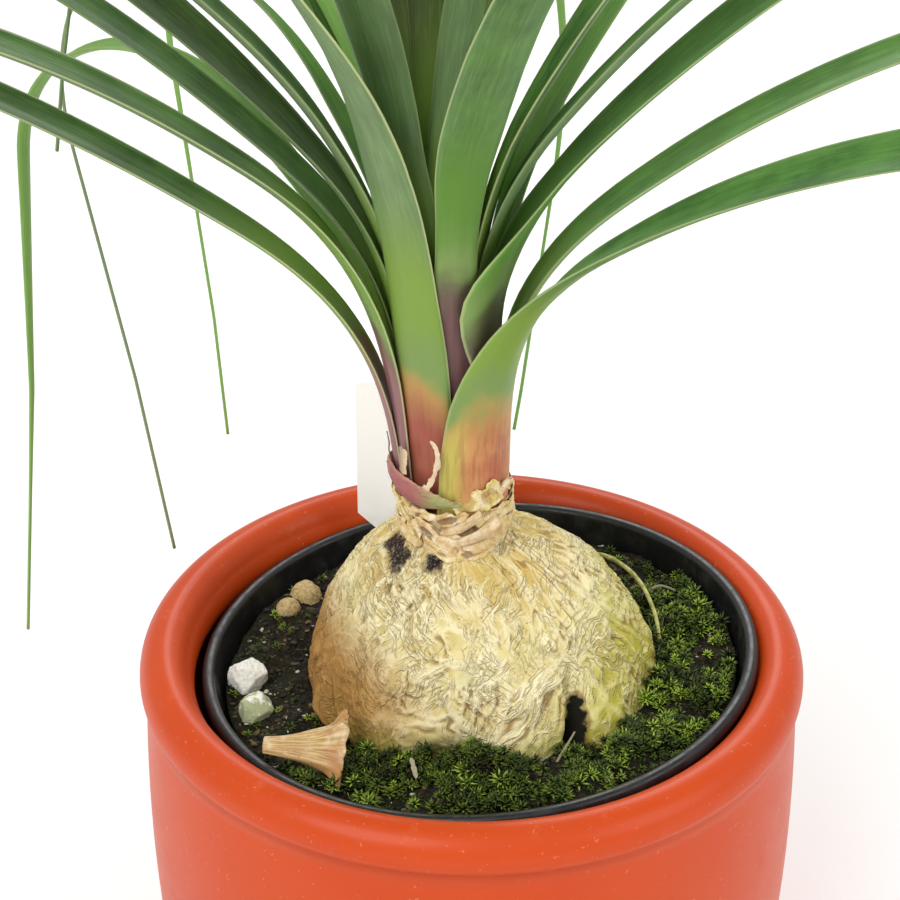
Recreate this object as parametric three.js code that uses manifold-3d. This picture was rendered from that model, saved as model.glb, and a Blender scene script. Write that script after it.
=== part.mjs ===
// A ponytail palm in a black nursery pot, standing in a round cover pot.
// Millimetres, +Z up. The origin is the centre of the cover pot's flat base.
// The photographer stands on the -Y side, and +X is to the right.
import * as THREE from 'three';
import { mergeVertices } from 'three/addons/utils/BufferGeometryUtils.js';
import Module from 'manifold-3d';

const { PI, sin, cos, min, max, exp } = Math;
const rad = THREE.MathUtils.degToRad;
const smooth = (x) => THREE.MathUtils.smoothstep(x, 0, 1);

// Cover pot
const POT_H = 110;          // top of the lip above the table
const LIP_R = 73;           // widest radius of the rolled lip
const CREST_R = 67;         // radius at the top of the lip
const CREASE_R = 71.5;      // groove under the lip
const BELLY_R = 72.6;
const FOOT_R = 54;          // flat ring that it stands on
const MOUTH_R = 61.2;       // narrowest radius inside the lip, at its lower edge
const POT_WALL = 3;
const POT_FLOOR = 3;

// Nursery pot: it stands crooked, leaning to -X
const TRAY_R = 61.4;        // outside of its rim
const TRAY_FOOT_R = 42;
const TRAY_WALL = 1.2;
const TRAY_RIM_DROP = 3.5;  // its rim's centre below the cover pot's lip
const TRAY_SHIFT = 1.6;
const TRAY_TILT = 3.7;      // degrees
const DRAIN_R = 3.5;
const DRAIN_RING = 27;

// Planting
const GAP = 0.3;            // clearance where separate pieces touch
const SOIL_DROP = 6.5;      // soil below the nursery pot's rim
const NECK_X = -3.6;        // centre of its neck
const NECK_Z = POT_H + 27;  // where the lowest leaves are attached

// Crown
const STEM_LEAN = 0.04;     // the stem's shift to -X for each millimetre of height
const LEAN_TOP = 90;        // height above the neck where the shift ends
const CROWN_R = 10.8;       // inside of the lowest leaf sheaths
const CROWN_TAPER = 0.19;   // the stem's radius lost per millimetre above the neck
const STEM_TOP = 50;        // tip of the stem above the neck
const LEAF_T = 0.65;        // blade thickness
const BLADE_HALF = rad(28); // half-angle of the blade's shallow channel

// Number of faces
const POT_SIDES = 48;
const BULB_SIDES = 26;
const SOIL_SIDES = 40;
const LEAF_STEPS = 15;      // stretches along a leaf
const ACROSS = 4;           // facets across a leaf

const wasm = await Module();
wasm.setup();

// One solid for cutting, from a closed geometry
function solid(geometry, matrix) {
  let copy = geometry.clone();
  if (matrix) copy.applyMatrix4(matrix);
  copy.deleteAttribute('normal');
  copy.deleteAttribute('uv');
  copy = mergeVertices(copy, 1e-4);
  return new wasm.Manifold(new wasm.Mesh({
    numProp: 3,
    vertProperties: new Float32Array(copy.attributes.position.array),
    triVerts: new Uint32Array(copy.index.array),
  }));
}

// The geometry of a cut solid
function geometryOf(manifold) {
  const mesh = manifold.getMesh();
  const geometry = new THREE.BufferGeometry();
  geometry.setAttribute('position', new THREE.Float32BufferAttribute(mesh.vertProperties, 3));
  geometry.setIndex(Array.from(mesh.triVerts));
  geometry.computeVertexNormals();
  return geometry;
}

// A closed skin from rings of equal length, stacked upwards, with a middle point at each end
function stackedRings(rings, bottom, top) {
  const around = rings[0].length;
  const points = rings.flat();
  const low = points.push(bottom) - 1;
  const high = points.push(top) - 1;
  const faces = [];
  for (let j = 0; j < around; j += 1) {
    const next = (j + 1) % around;
    faces.push(low, next, j);
    for (let i = 0; i + 1 < rings.length; i += 1) {
      const a = i * around;
      const b = a + around;
      faces.push(a + j, a + next, b + next, a + j, b + next, b + j);
    }
    const last = (rings.length - 1) * around;
    faces.push(high, last + j, last + next);
  }
  const geometry = new THREE.BufferGeometry().setFromPoints(points);
  geometry.setIndex(faces);
  geometry.computeVertexNormals();
  return geometry;
}

// A turned shape from a closed path of (radius, height)
function turned(path, sides, divisions = 3) {
  const geometry = new THREE.LatheGeometry(path.getPoints(divisions), sides);
  geometry.rotateX(PI / 2);
  return geometry;
}

function standard(color, roughness, metalness = 0) {
  return new THREE.MeshStandardMaterial({ color, roughness, metalness });
}

function node(name, geometry, material) {
  const mesh = new THREE.Mesh(geometry, material);
  mesh.name = name;
  return mesh;
}

// Cover pot: round-bellied, with a fat rolled lip over a groove
function coverPotGeometry() {
  const lipMiddle = POT_H - 6.5;
  const crease = POT_H - 9;
  const path = new THREE.Path();
  path.moveTo(0, 0);
  path.lineTo(FOOT_R, 0);
  path.bezierCurveTo(FOOT_R + 9, 0, BELLY_R - 2, 22, BELLY_R - 1, 42);
  path.bezierCurveTo(BELLY_R + 0.6, 64, BELLY_R, crease - 14, CREASE_R, crease);
  path.bezierCurveTo(LIP_R - 0.6, crease + 0.2, LIP_R, lipMiddle - 1, LIP_R, lipMiddle);
  path.bezierCurveTo(LIP_R, POT_H - 2.4, CREST_R + 3, POT_H, CREST_R, POT_H);
  path.quadraticCurveTo(MOUTH_R + 2.8, POT_H - 0.4, MOUTH_R + 1.4, POT_H - 4.5);
  path.quadraticCurveTo(MOUTH_R, POT_H - 7, MOUTH_R, POT_H - 9.5);
  path.quadraticCurveTo(MOUTH_R, POT_H - 11, MOUTH_R + 2, POT_H - 13);
  path.bezierCurveTo(
    BELLY_R - POT_WALL, crease - 11, BELLY_R - POT_WALL, 64, BELLY_R - 1 - POT_WALL, 42);
  path.bezierCurveTo(
    BELLY_R - 2 - POT_WALL, 22, FOOT_R + 7, POT_FLOOR, FOOT_R - 4, POT_FLOOR);
  path.lineTo(0, POT_FLOOR);
  return turned(path, POT_SIDES);
}

// Nursery pot: thin and tapered, its rim rolled out, drawn with the rim's centre at 0
const trayLean = rad(TRAY_TILT);
const trayRimZ = POT_H - TRAY_RIM_DROP;
const TRAY_H = (trayRimZ - POT_FLOOR - GAP - TRAY_FOOT_R * sin(trayLean)) / cos(trayLean);
const trayInside = (z) => TRAY_R - 1.8 - TRAY_WALL + (z * (TRAY_R - 1.8 - TRAY_FOOT_R)) / TRAY_H;

function nurseryPotGeometry() {
  const path = new THREE.Path();
  path.moveTo(0, -TRAY_H);
  path.lineTo(TRAY_FOOT_R, -TRAY_H);
  path.lineTo(TRAY_R - 1.8, -3.4);
  path.lineTo(TRAY_R, -2.6);
  path.quadraticCurveTo(TRAY_R + 0.1, 0, TRAY_R - 1.4, 0);
  path.quadraticCurveTo(trayInside(0), 0, trayInside(0), -1.6);
  path.lineTo(TRAY_FOOT_R - TRAY_WALL, TRAY_WALL - TRAY_H);
  path.lineTo(0, TRAY_WALL - TRAY_H);
  let pot = solid(turned(path, POT_SIDES, 2));
  for (let i = 0; i < 5; i += 1) {
    const turn = (i * 2 * PI) / 5;
    const drain = new THREE.CylinderGeometry(DRAIN_R, DRAIN_R, 4 * TRAY_WALL, 8);
    drain.rotateX(PI / 2);
    drain.translate(DRAIN_RING * cos(turn), DRAIN_RING * sin(turn), -TRAY_H);
    pot = pot.subtract(solid(drain));
  }
  return geometryOf(pot);
}

// Height of the lumpy soil, in the nursery pot's frame: it rises to the front, with low mounds at
// the back left and in front of the trunk
function soilHeight(x, y) {
  const mound = 1.2 * exp(-((x + 44) ** 2 + (y - 28) ** 2) / 170) - 0.03 * min(0, y)
    + 2.8 * exp(-(((x - 6) / 26) ** 2) - ((y + 42) / 9) ** 2);
  const lumps = 0.8 * sin(0.21 * x + 1.1) * cos(0.17 * y - 0.4) + 0.5 * sin(0.43 * x - 0.36 * y);
  return mound + lumps - SOIL_DROP;
}

function soilGeometry() {
  const bottom = TRAY_WALL + GAP - TRAY_H;
  const ring = (share, height) => Array.from({ length: SOIL_SIDES }, (_, j) => {
    const turn = (j * 2 * PI) / SOIL_SIDES;
    const r = share * (trayInside(height ?? -SOIL_DROP) - GAP - 0.2);
    const x = r * cos(turn);
    const y = r * sin(turn);
    return new THREE.Vector3(x, y, height ?? soilHeight(x, y));
  });
  const rings = [ring(1, bottom), ring(0.99), ring(0.87), ring(0.75), ring(0.6), ring(0.4)];
  const middle = new THREE.Vector3(0, 0, -SOIL_DROP);
  return stackedRings(rings, new THREE.Vector3(0, 0, bottom), middle);
}

// Swollen trunk: height over the lip, radius and centre, from its buried bottom to the neck
const BULB = [
  [-42, 12, 3.2], [-38, 24, 3.2], [-30, 32.5, 3.1], [-20, 37, 2.8], [-10, 38.6, 2.4],
  [-2, 36.8, 2.2], [6, 33.4, 1.5], [13, 28.9, 0.5], [19, 23.4, -1], [23, 18.2, -2.3],
  [25.4, 14.4, -3.1], [26.4, 12.6, -3.4],
];
const stemRadius = (up) => CROWN_R - GAP - CROWN_TAPER * up;

// Folds and toes at the foot of the trunk, where it swells over the soil
function bulbSwell(turn, z) {
  const low = smooth((12 - z) / 22);
  const toe = 4.2 * exp(-(((turn + 0.9) / 0.2) ** 2)) + 2 * exp(-(((turn + 1.38) / 0.2) ** 2))
    + 1.4 * exp(-(((turn + 2.2) / 0.26) ** 2));
  const cleft = 2.6 * exp(-(((turn + 1.12) / 0.09) ** 2)) + 2.4 * exp(-(((turn + 1.78) / 0.16) ** 2));
  return low * (toe - cleft) + 0.5 * sin(3 * turn + 0.06 * z) * smooth((24 - z) / 10);
}

function bulbGeometry(room = 0) {
  const ring = (z, r, x, swell = 1) => Array.from({ length: BULB_SIDES }, (_, j) => {
    const turn = (j * 2 * PI) / BULB_SIDES - PI;
    const reach = r + room + swell * bulbSwell(turn, z);
    return new THREE.Vector3(x + reach * cos(turn), reach * sin(turn), POT_H + z);
  });
  const rings = BULB.map(([z, r, x]) => ring(z, r, x));
  for (const up of [0, 8, 20, 34, STEM_TOP]) {
    const z = NECK_Z - POT_H + up;
    rings.push(ring(z, stemRadius(up), NECK_X - STEM_LEAN * up, 0));
  }
  const bottom = new THREE.Vector3(BULB[0][2], 0, POT_H + BULB[0][0] - room);
  const tip = new THREE.Vector3(NECK_X - STEM_LEAN * STEM_TOP, 0, NECK_Z + STEM_TOP + 0.5);
  return stackedRings(rings, bottom, tip);
}

// A thin channelled strip: stations give its centre, its across and inward directions,
// its width and the half-angle that it curls through, and how far its left side laps further
// round and bulges out
function stripGeometry(stations, thickness) {
  const points = [];
  for (const { centre, across, inward, width, half, lap = 0, bulge = 0 } of stations) {
    const curl = width / (2 * half);
    const middle = centre.clone().addScaledVector(inward, curl);
    for (const face of [curl, curl + thickness]) {
      for (let j = 0; j <= ACROSS; j += 1) {
        const left = 1 - j / ACROSS;
        const turn = half * (1 - 2 * left) - lap * left;
        const reach = face + bulge * left;
        points.push(middle.clone()
          .addScaledVector(across, reach * sin(turn))
          .addScaledVector(inward, -reach * cos(turn)));
      }
    }
  }
  const edge = ACROSS + 1;
  const inside = (i, j) => i * 2 * edge + j;
  const outside = (i, j) => inside(i, j) + edge;
  const faces = [];
  const quad = (a, b, c, d) => faces.push(a, b, c, a, c, d);
  for (let i = 0; i + 1 < stations.length; i += 1) {
    for (let j = 0; j < ACROSS; j += 1) {
      faces.push(inside(i, j), inside(i + 1, j + 1), inside(i, j + 1));
      faces.push(inside(i, j), inside(i + 1, j), inside(i + 1, j + 1));
      faces.push(outside(i, j), outside(i, j + 1), outside(i + 1, j + 1));
      faces.push(outside(i, j), outside(i + 1, j + 1), outside(i + 1, j));
    }
    quad(inside(i, ACROSS), inside(i + 1, ACROSS), outside(i + 1, ACROSS), outside(i, ACROSS));
    quad(inside(i, 0), outside(i, 0), outside(i + 1, 0), inside(i + 1, 0));
  }
  const end = stations.length - 1;
  for (let j = 0; j < ACROSS; j += 1) {
    quad(inside(0, j), inside(0, j + 1), outside(0, j + 1), outside(0, j));
    quad(inside(end, j), outside(end, j), outside(end, j + 1), inside(end, j + 1));
  }
  const geometry = new THREE.BufferGeometry().setFromPoints(points);
  geometry.setIndex(faces);
  geometry.computeVertexNormals();
  return geometry;
}

// The leaves, from the lowest on the stem to the youngest in the middle. Angles are in degrees,
// and every distance runs along the leaf from the level of the neck, in millimetres.
// az: the way it points; up: where it is attached; wrap: half of the stem that its sheath holds;
// lean: its lean from upright inside the crown; open: its lean once it has left the crown, between
// from and turn; droop: how much further it bends from there to end, or to its tip; wide: the
// width of its blade; slim: the share of that width that is left where it hangs; lap: how far its
// sheath laps over its left neighbour, where that is full, where it starts and ends to run out, and
// how far it bulges there; drift: how far the blade swings sideways; roll: its turn about itself.
const LEAVES = [
  { az: -30, up: 0.5, wrap: 44, lean: 3.5, open: 53, from: 22, turn: 86, droop: 88, tip: 380,
    wide: 12.5, lap: [37, 3, 30, 80, 0.6], drift: 4, roll: 26 },
  { az: 93, up: 0.5, wrap: 39, lean: 3, open: 53, from: 18, turn: 104, droop: 105, end: 252,
    tip: 334, wide: 11, drift: -1, roll: -15 },
  { az: 181, up: 0.5, wrap: 26, lean: 3, open: 55.5, from: 12, turn: 88, droop: 63, tip: 362,
    wide: 10, drift: -3, roll: -12 },
  { az: 194, up: 5.5, wrap: 24, lean: 4, open: 53, from: 26, turn: 108, droop: 84, tip: 374,
    wide: 12.5, drift: 6, roll: -6 },
  { az: 76, up: 5, wrap: 27, lean: 2, open: 46, from: 29, turn: 102, droop: 180, end: 235, tip: 300,
    wide: 8, slim: 0.6, roll: 4 },
  { az: 3, up: 5.5, wrap: 31, lean: 2, open: 55, from: 20, turn: 93, droop: 89, tip: 384, wide: 11.5,
    drift: -3, roll: 8 },
  { az: 170, up: 14, wrap: 24, lean: 3.5, open: 49.5, from: 31, turn: 97, droop: 82, tip: 399,
    wide: 10, drift: -1, roll: -6 },
  { az: -1, up: 15, wrap: 31, lean: 1.5, open: 40.5, from: 42, turn: 85, droop: 72, tip: 391,
    wide: 12, lap: [54, 52, 40, 74, 4.8], drift: 2, roll: 20 },
  { az: 122, up: 15.5, wrap: 24, lean: 7, open: 38.5, from: 29, turn: 102, droop: 150, end: 232,
    tip: 328, wide: 9, slim: 0.3, drift: -1 },
  { az: -121, up: 9, wrap: 35, lean: 3, open: 36, from: 30, turn: 148, droop: 97, tip: 400,
    wide: 14.5, drift: -30, roll: -44 },
  { az: 149, up: 11, wrap: 24, lean: 6, open: 47.5, from: 13, turn: 93, droop: 125, end: 178,
    tip: 313, wide: 9, slim: 0.75, roll: -2 },
  { az: 32, up: 10.5, wrap: 37, lean: 3.5, open: 40, from: 33, turn: 116, droop: 110, end: 222,
    tip: 341, wide: 9, slim: 0.5, drift: -1 },
  { az: -77, up: 17.5, wrap: 34, lean: 5, open: 33.5, from: 39, turn: 115, droop: 57, tip: 360,
    wide: 13.5, drift: 32, roll: -2 },
  { az: 95, up: 20, wrap: 35, lean: 7, open: 30.5, from: 40, turn: 117, droop: 120, end: 272,
    tip: 312, wide: 10, roll: 8 },
  { az: -8, up: 20.5, wrap: 32, lean: 0.5, open: 38.5, from: 39, turn: 105, droop: 88, tip: 397,
    wide: 11, drift: -5, roll: -8 },
  { az: 182, up: 20.5, wrap: 36, lean: 6, open: 41.5, from: 42, turn: 103, droop: 82, tip: 420,
    wide: 13.5, drift: -2, roll: -25 },
  { az: 85, up: 28.5, wrap: 32, lean: 3.5, open: 29.5, from: 40, turn: 120, droop: 100, tip: 340,
    wide: 11, roll: 12 },
  { az: 140, up: 24, wrap: 24, lean: 3, open: 39.5, from: 34, turn: 97, droop: 154, end: 227,
    tip: 329, wide: 8, slim: 0.3, drift: -3, roll: 1 },
  { az: -1, up: 30, wrap: 36, lean: 2.5, open: 30.5, from: 40, turn: 114, droop: 90, tip: 425,
    wide: 13, drift: -2, roll: 11 },
  { az: 190, up: 25.5, wrap: 25, lean: 5, open: 45.5, from: 33, turn: 139, droop: 90, tip: 412,
    wide: 12, drift: -1, roll: 1 },
  { az: 74, up: 25, wrap: 35, lean: 4.5, open: 33, from: 42, turn: 118, droop: 75, tip: 344,
    wide: 11, roll: 10 },
  { az: 160, up: 29, wrap: 31, lean: 5, open: 28, from: 46, turn: 115, droop: 139, end: 191,
    tip: 230, wide: 8, slim: 0.4, drift: -9, roll: -6 },
  { az: 35, up: 36.5, wrap: 33, lean: 3, open: 32.5, from: 46, turn: 138, droop: 110, tip: 418,
    wide: 12, roll: 23 },
  { az: -121, up: 34.5, wrap: 44, lean: 7, open: 26.5, from: 50, turn: 142, droop: 100, tip: 392,
    wide: 12, roll: 31 },
  { az: 122, up: 35.5, wrap: 39, lean: 4.5, open: 34, from: 66, turn: 134, droop: 81, tip: 434,
    wide: 13.5, roll: -1 },
  { az: 56, up: 40.5, wrap: 46, lean: 2, open: 34, from: 63, turn: 139, droop: 80, tip: 434,
    wide: 13.5, roll: 10 },
  { az: -59, up: 40.5, wrap: 46, lean: 1, open: 21.5, from: 52, turn: 154, droop: 90, tip: 414,
    wide: 12, roll: 47 },
  { az: -164, up: 37.5, wrap: 24, lean: 6.5, open: 22.5, from: 54, turn: 156, droop: 100, tip: 416,
    wide: 12, roll: -3 },
  { az: 164, up: 41, wrap: 51, lean: 3.5, open: 20, from: 58, turn: 150, droop: 90, tip: 390,
    wide: 11, roll: 2 },
  { az: 103, up: 47, wrap: 52, lean: 1, open: 16.5, from: 59, turn: 160, droop: 60, tip: 374,
    wide: 11, drift: -3, roll: 3 },
];
const LEAF_DEFAULTS = { slim: 1, lap: [0, 1, 0, 1, 0], drift: 0, roll: 0 };
const SHEATH_END = 48;      // where the sheath has become the blade
const BULGE_GROWN = 26;     // where a lapping sheath bulges fully
const LINE_STEPS = 120;

// Width of a leaf at s mm along it: clasping foot, a slight waist, blade, long fine tip
function leafWidth(leaf, foot, s) {
  const u = s / (leaf.tip - leaf.up);
  const waist = 1 - 0.16 * exp(-(((s - 55) / 22) ** 2));
  const taper = (1 - u ** 2.6) ** 0.9 * (1 - 0.35 * smooth((u - 0.45) / 0.55));
  const hang = 1 - (1 - leaf.slim) * smooth((s + leaf.up - leaf.turn + 20) / 90);
  const blend = smooth(s / SHEATH_END);
  return max(foot * (1 - blend) + leaf.wide * waist * taper * hang * blend, 0.9);
}

// The leaf's middle line and directions at even steps, pointing to +X at first
function leafLine(leaf, foot) {
  const long = leaf.tip - leaf.up;
  const step = long / LINE_STEPS;
  const end = leaf.end ?? leaf.tip;
  const line = [];
  const centre = new THREE.Vector3(foot, 0, leaf.up);
  let bent = 0;
  for (let i = 0; i <= LINE_STEPS; i += 1) {
    const s = i * step;
    const past = s + leaf.up;
    const opening = smooth((past - leaf.from) / (leaf.turn - leaf.from));
    const drooping = min(1, max(0, (past - leaf.turn) / (end - leaf.turn))) ** 1.1;
    const tilt = rad(leaf.lean + (leaf.open - leaf.lean) * opening + leaf.droop * drooping);
    const swing = rad(leaf.drift * smooth((1.4 * s) / long - 0.1));
    const roll = rad(leaf.roll * smooth((s - 40) / 130));
    const along = new THREE.Vector3(sin(tilt) * cos(swing), sin(tilt) * sin(swing), cos(tilt));
    const side = new THREE.Vector3(-sin(swing), cos(swing), 0);
    const up = new THREE.Vector3(-cos(tilt) * cos(swing), -cos(tilt) * sin(swing), sin(tilt));
    if (i > 0) {
      centre.addScaledVector(line[i - 1].along, step / 2).addScaledVector(along, step / 2);
      bent += 1 / LINE_STEPS + 0.55 * line[i - 1].along.angleTo(along);
    }
    line.push({
      s,
      bent,
      along,
      centre: centre.clone(),
      across: side.clone().multiplyScalar(cos(roll)).addScaledVector(up, sin(roll)),
      inward: up.clone().multiplyScalar(cos(roll)).addScaledVector(side, -sin(roll)),
    });
  }
  return line;
}

// Rings of the leaf lie closer where it bends
function leafGeometry(leaf) {
  const foot = CROWN_R - CROWN_TAPER * leaf.up;
  const wrap = rad(leaf.wrap);
  const [lap, lapGrown, lapFrom, lapTo, bulge] = leaf.lap;
  const line = leafLine(leaf, foot);
  const total = line[LINE_STEPS].bent;
  const stations = [];
  for (let i = 0; i <= LEAF_STEPS; i += 1) {
    const at = line.find((p) => p.bent >= (total * i) / LEAF_STEPS - 1e-9);
    const blend = smooth(at.s / 60);
    const lapLost = smooth((at.s - lapFrom) / (lapTo - lapFrom));
    stations.push({
      ...at,
      lap: rad(lap) * (smooth(at.s / lapGrown) - lapLost),
      bulge: bulge * (1 - lapLost) * smooth(at.s / BULGE_GROWN),
      width: leafWidth(leaf, 2 * foot * wrap, at.s),
      half: wrap * (1 - blend) + BLADE_HALF * blend,
    });
  }
  return stripGeometry(stations, LEAF_T);
}

// Remains of older leaves round the neck: a strip bent round the stem with a ragged top
function wrapGeometry({ inner, thickness, from, to, steps, low, high }) {
  const closed = to - from > 359;
  const count = closed ? steps : steps + 1;
  const points = [];
  for (let j = 0; j < count; j += 1) {
    const turn = rad(from + ((to - from) * j) / steps);
    const flare = 0.05 * (high(turn) - low(turn));
    for (const [r, z] of [
      [inner, low(turn)], [inner + thickness, low(turn)],
      [inner + thickness + flare, high(turn)], [inner + flare, high(turn)],
    ]) {
      points.push(new THREE.Vector3(r * cos(turn), r * sin(turn), z));
    }
  }
  const faces = [];
  for (let j = 0; j < steps; j += 1) {
    const a = 4 * j;
    const b = 4 * ((j + 1) % count);
    for (let k = 0; k < 4; k += 1) {
      const n = (k + 1) % 4;
      faces.push(a + k, b + n, b + k, a + k, a + n, b + n);
    }
  }
  if (!closed) {
    const z = 4 * steps;
    faces.push(0, 3, 2, 0, 2, 1, z, z + 1, z + 2, z, z + 2, z + 3);
  }
  const geometry = new THREE.BufferGeometry().setFromPoints(points);
  geometry.setIndex(faces.reverse());
  geometry.computeVertexNormals();
  return geometry;
}

// Plant label: a blank plate with a pointed foot, drawn upright in the XZ plane
const LABEL = { wide: 30, top: 35, foot: 26, thick: 0.8, stalk: 5 };
function labelGeometry(room = 0) {
  const half = LABEL.wide / 2 + room;
  const stalk = LABEL.stalk + room;
  const shape = new THREE.Shape();
  shape.moveTo(-half, LABEL.top);
  shape.lineTo(-half, 0);
  shape.lineTo(-stalk, LABEL.stalk - LABEL.wide / 2);
  shape.lineTo(-stalk, -LABEL.foot);
  shape.lineTo(0, -LABEL.foot - stalk - room);
  shape.lineTo(stalk, -LABEL.foot);
  shape.lineTo(stalk, LABEL.stalk - LABEL.wide / 2);
  shape.lineTo(half, 0);
  shape.lineTo(half, LABEL.top);
  const depth = LABEL.thick + 2 * room;
  const geometry = new THREE.ExtrudeGeometry(shape, { depth, bevelEnabled: false });
  geometry.rotateX(PI / 2);
  geometry.translate(0, depth / 2, 0);
  return geometry;
}

// A rough little stone: a ball pushed in and out by a formula
function stoneGeometry(size, rough, phase, room = 0) {
  const geometry = mergeVertices(barePoints(new THREE.IcosahedronGeometry(1, 1)), 1e-4);
  const at = geometry.attributes.position;
  const p = new THREE.Vector3();
  for (let i = 0; i < at.count; i += 1) {
    p.fromBufferAttribute(at, i);
    const bump = sin(3.1 * p.x + phase) * cos(2.7 * p.y - phase) + 0.6 * sin(4.3 * p.z + 2 * phase);
    p.multiplyScalar(size * (1 + rough * bump) + room);
    at.setXYZ(i, p.x, p.y, p.z);
  }
  geometry.computeVertexNormals();
  return geometry;
}

function barePoints(geometry) {
  geometry.deleteAttribute('normal');
  geometry.deleteAttribute('uv');
  return geometry;
}

// Fallen dry leaf base: a papery fan, narrow at one end and flared at the other
function dryBaseGeometry() {
  const length = 17.5;
  const stations = Array.from({ length: 6 }, (_, i) => {
    const u = i / 5;
    return {
      centre: new THREE.Vector3(length * (u - 0.5), 0, 1.2 * u * u),
      across: new THREE.Vector3(0, -1, 0),
      inward: new THREE.Vector3(0, 0, -1),
      width: 3.4 + 5.5 * u + 8.5 * u ** 3,
      half: rad(62 - 12 * u),
    };
  });
  return stripGeometry(stations, 0.7);
}

// A wiry old root that arches over the soil beside the trunk; both ends stand in the soil
const ROOT_R = 0.7;
const ROOT_PATH = [
  [26, 43, -16], [28, 42, -7], [33, 37, -4.5], [38.2, 28, -4], [41, 16, -3.8],
  [41.9, 6, -5], [42.3, 1, -13],
].map(([x, y, z]) => new THREE.Vector3(x, y, z));

function rootGeometry(room = 0) {
  const shape = new THREE.Shape();
  for (let j = 0; j < 6; j += 1) {
    const turn = (j * PI) / 3;
    const r = ROOT_R + room;
    if (j === 0) shape.moveTo(r * cos(turn), r * sin(turn));
    else shape.lineTo(r * cos(turn), r * sin(turn));
  }
  const extrudePath = new THREE.CatmullRomCurve3(ROOT_PATH);
  return new THREE.ExtrudeGeometry(shape, { steps: 18, extrudePath, bevelEnabled: false });
}

// Everything above the neck leans with the stem
function leaning(geometry) {
  const at = geometry.attributes.position;
  for (let i = 0; i < at.count; i += 1) {
    at.setX(i, at.getX(i) - STEM_LEAN * min(LEAN_TOP, max(0, at.getZ(i))));
  }
  geometry.computeVertexNormals();
  return geometry;
}

// Finishes
const FINISH = {
  terracotta: standard(0xd4552b, 0.38),
  blackPlastic: standard(0x1c1f21, 0.42),
  soil: standard(0x2f2a20, 0.95),
  bark: standard(0xc6bb86, 0.85),
  dryHusk: standard(0xd8c39a, 0.8),
  rosyHusk: standard(0xb9757a, 0.6),
  leaf: standard(0x4f8a3a, 0.4),
  white: standard(0xf2f2f0, 0.4),
  clay: standard(0xa98f6b, 0.9),
  pumice: standard(0xd9dccb, 0.9),
  root: standard(0xb9b374, 0.7),
};

const palm = new THREE.Group();
palm.add(node('cover_pot', coverPotGeometry(), FINISH.terracotta));

const tray = new THREE.Group();
tray.position.set(TRAY_SHIFT, 0, trayRimZ);
tray.rotation.y = -trayLean;
tray.add(node('nursery_pot', nurseryPotGeometry(), FINISH.blackPlastic));
palm.add(tray);

palm.add(node('caudex', bulbGeometry(), FINISH.bark));

// Loose things in and on the soil: name, shape with room round it, finish, and place over the lip
const bits = [
  ['plant_label', labelGeometry, FINISH.white, -12, 47, 2],
  ['clay_ball_1', (room) => stoneGeometry(2.8, 0.05, 0.4, room), FINISH.clay, -42.4, 24.8, -11],
  ['clay_ball_2', (room) => stoneGeometry(3.9, 0.05, 1.9, room), FINISH.clay, -38.8, 31.4, -12.2],
  ['pumice_1', (room) => stoneGeometry(4.5, 0.1, 2.6, room), FINISH.pumice, -49.8, -2, -11.4],
  ['pumice_2', (room) => stoneGeometry(4.1, 0.09, 4.1, room), FINISH.pumice, -47, -14, -11.4],
  ['wiry_root', rootGeometry, FINISH.root, 0, 0, 0],
];

tray.updateMatrixWorld(true);
let soil = solid(soilGeometry(), tray.matrixWorld).subtract(solid(bulbGeometry(GAP)));
for (const [name, shape, finish, x, y, z] of bits) {
  const piece = node(name, shape(0), finish);
  piece.position.set(x, y, POT_H + z);
  piece.updateMatrixWorld(true);
  soil = soil.subtract(solid(shape(GAP), piece.matrixWorld));
  palm.add(piece);
}
palm.add(node('soil', geometryOf(soil), FINISH.soil));

const dryBase = node('dry_leaf_base', dryBaseGeometry(), FINISH.dryHusk);
dryBase.position.set(-34.4, -38, POT_H - 3);
dryBase.rotation.set(rad(34), rad(-4), rad(-4));
palm.add(dryBase);

// Crown, drawn from the middle of the neck
const crown = new THREE.Group();
crown.position.set(NECK_X, 0, NECK_Z);
palm.add(crown);

// Top of the dry collar: ragged, and standing up at its right front
const ragged = (turn) => 10 + 0.9 * sin(5 * turn) + 0.6 * sin(11 * turn + 1) + 1.2 * cos(turn)
  + 6 * exp(-(((turn + 0.72) / 0.26) ** 2));
crown.add(node('dry_sheath_collar', leaning(wrapGeometry({
  inner: CROWN_R + LEAF_T + 0.6,
  thickness: 0.8,
  from: -180,
  to: 180,
  steps: 36,
  low: () => 0.3,
  high: ragged,
})), FINISH.dryHusk));
crown.add(node('old_leaf_stub', leaning(wrapGeometry({
  inner: CROWN_R + LEAF_T + 1.05,
  thickness: 0.7,
  from: -205,
  to: -84,
  steps: 12,
  low: (turn) => ragged(turn) + 1.5 * GAP,
  high: (turn) => 15.4 + 2.9 * cos(turn + 2.75),
})), FINISH.rosyHusk));

LEAVES.forEach((values, i) => {
  const leaf = { ...LEAF_DEFAULTS, ...values };
  const blade = leaning(leafGeometry(leaf).rotateZ(rad(leaf.az)));
  crown.add(node(`leaf_${String(i + 1).padStart(2, '0')}`, blade, FINISH.leaf));
});

export default palm;
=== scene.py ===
"""A potted ponytail palm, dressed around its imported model.

Lengths in the sections are millimetres, turned into metres when a piece is made. +Z is up, +X is
to the right, and the camera stands on the -Y side. Turns are seen from above, from +X.
"""
import random
from collections import namedtuple
from math import atan2, cos, exp, hypot, pi, radians, sin, sqrt, tan

import bmesh
import bpy
import numpy as np
from mathutils import Euler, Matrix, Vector
from mathutils.noise import noise, noise_vector, seed_set


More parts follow.
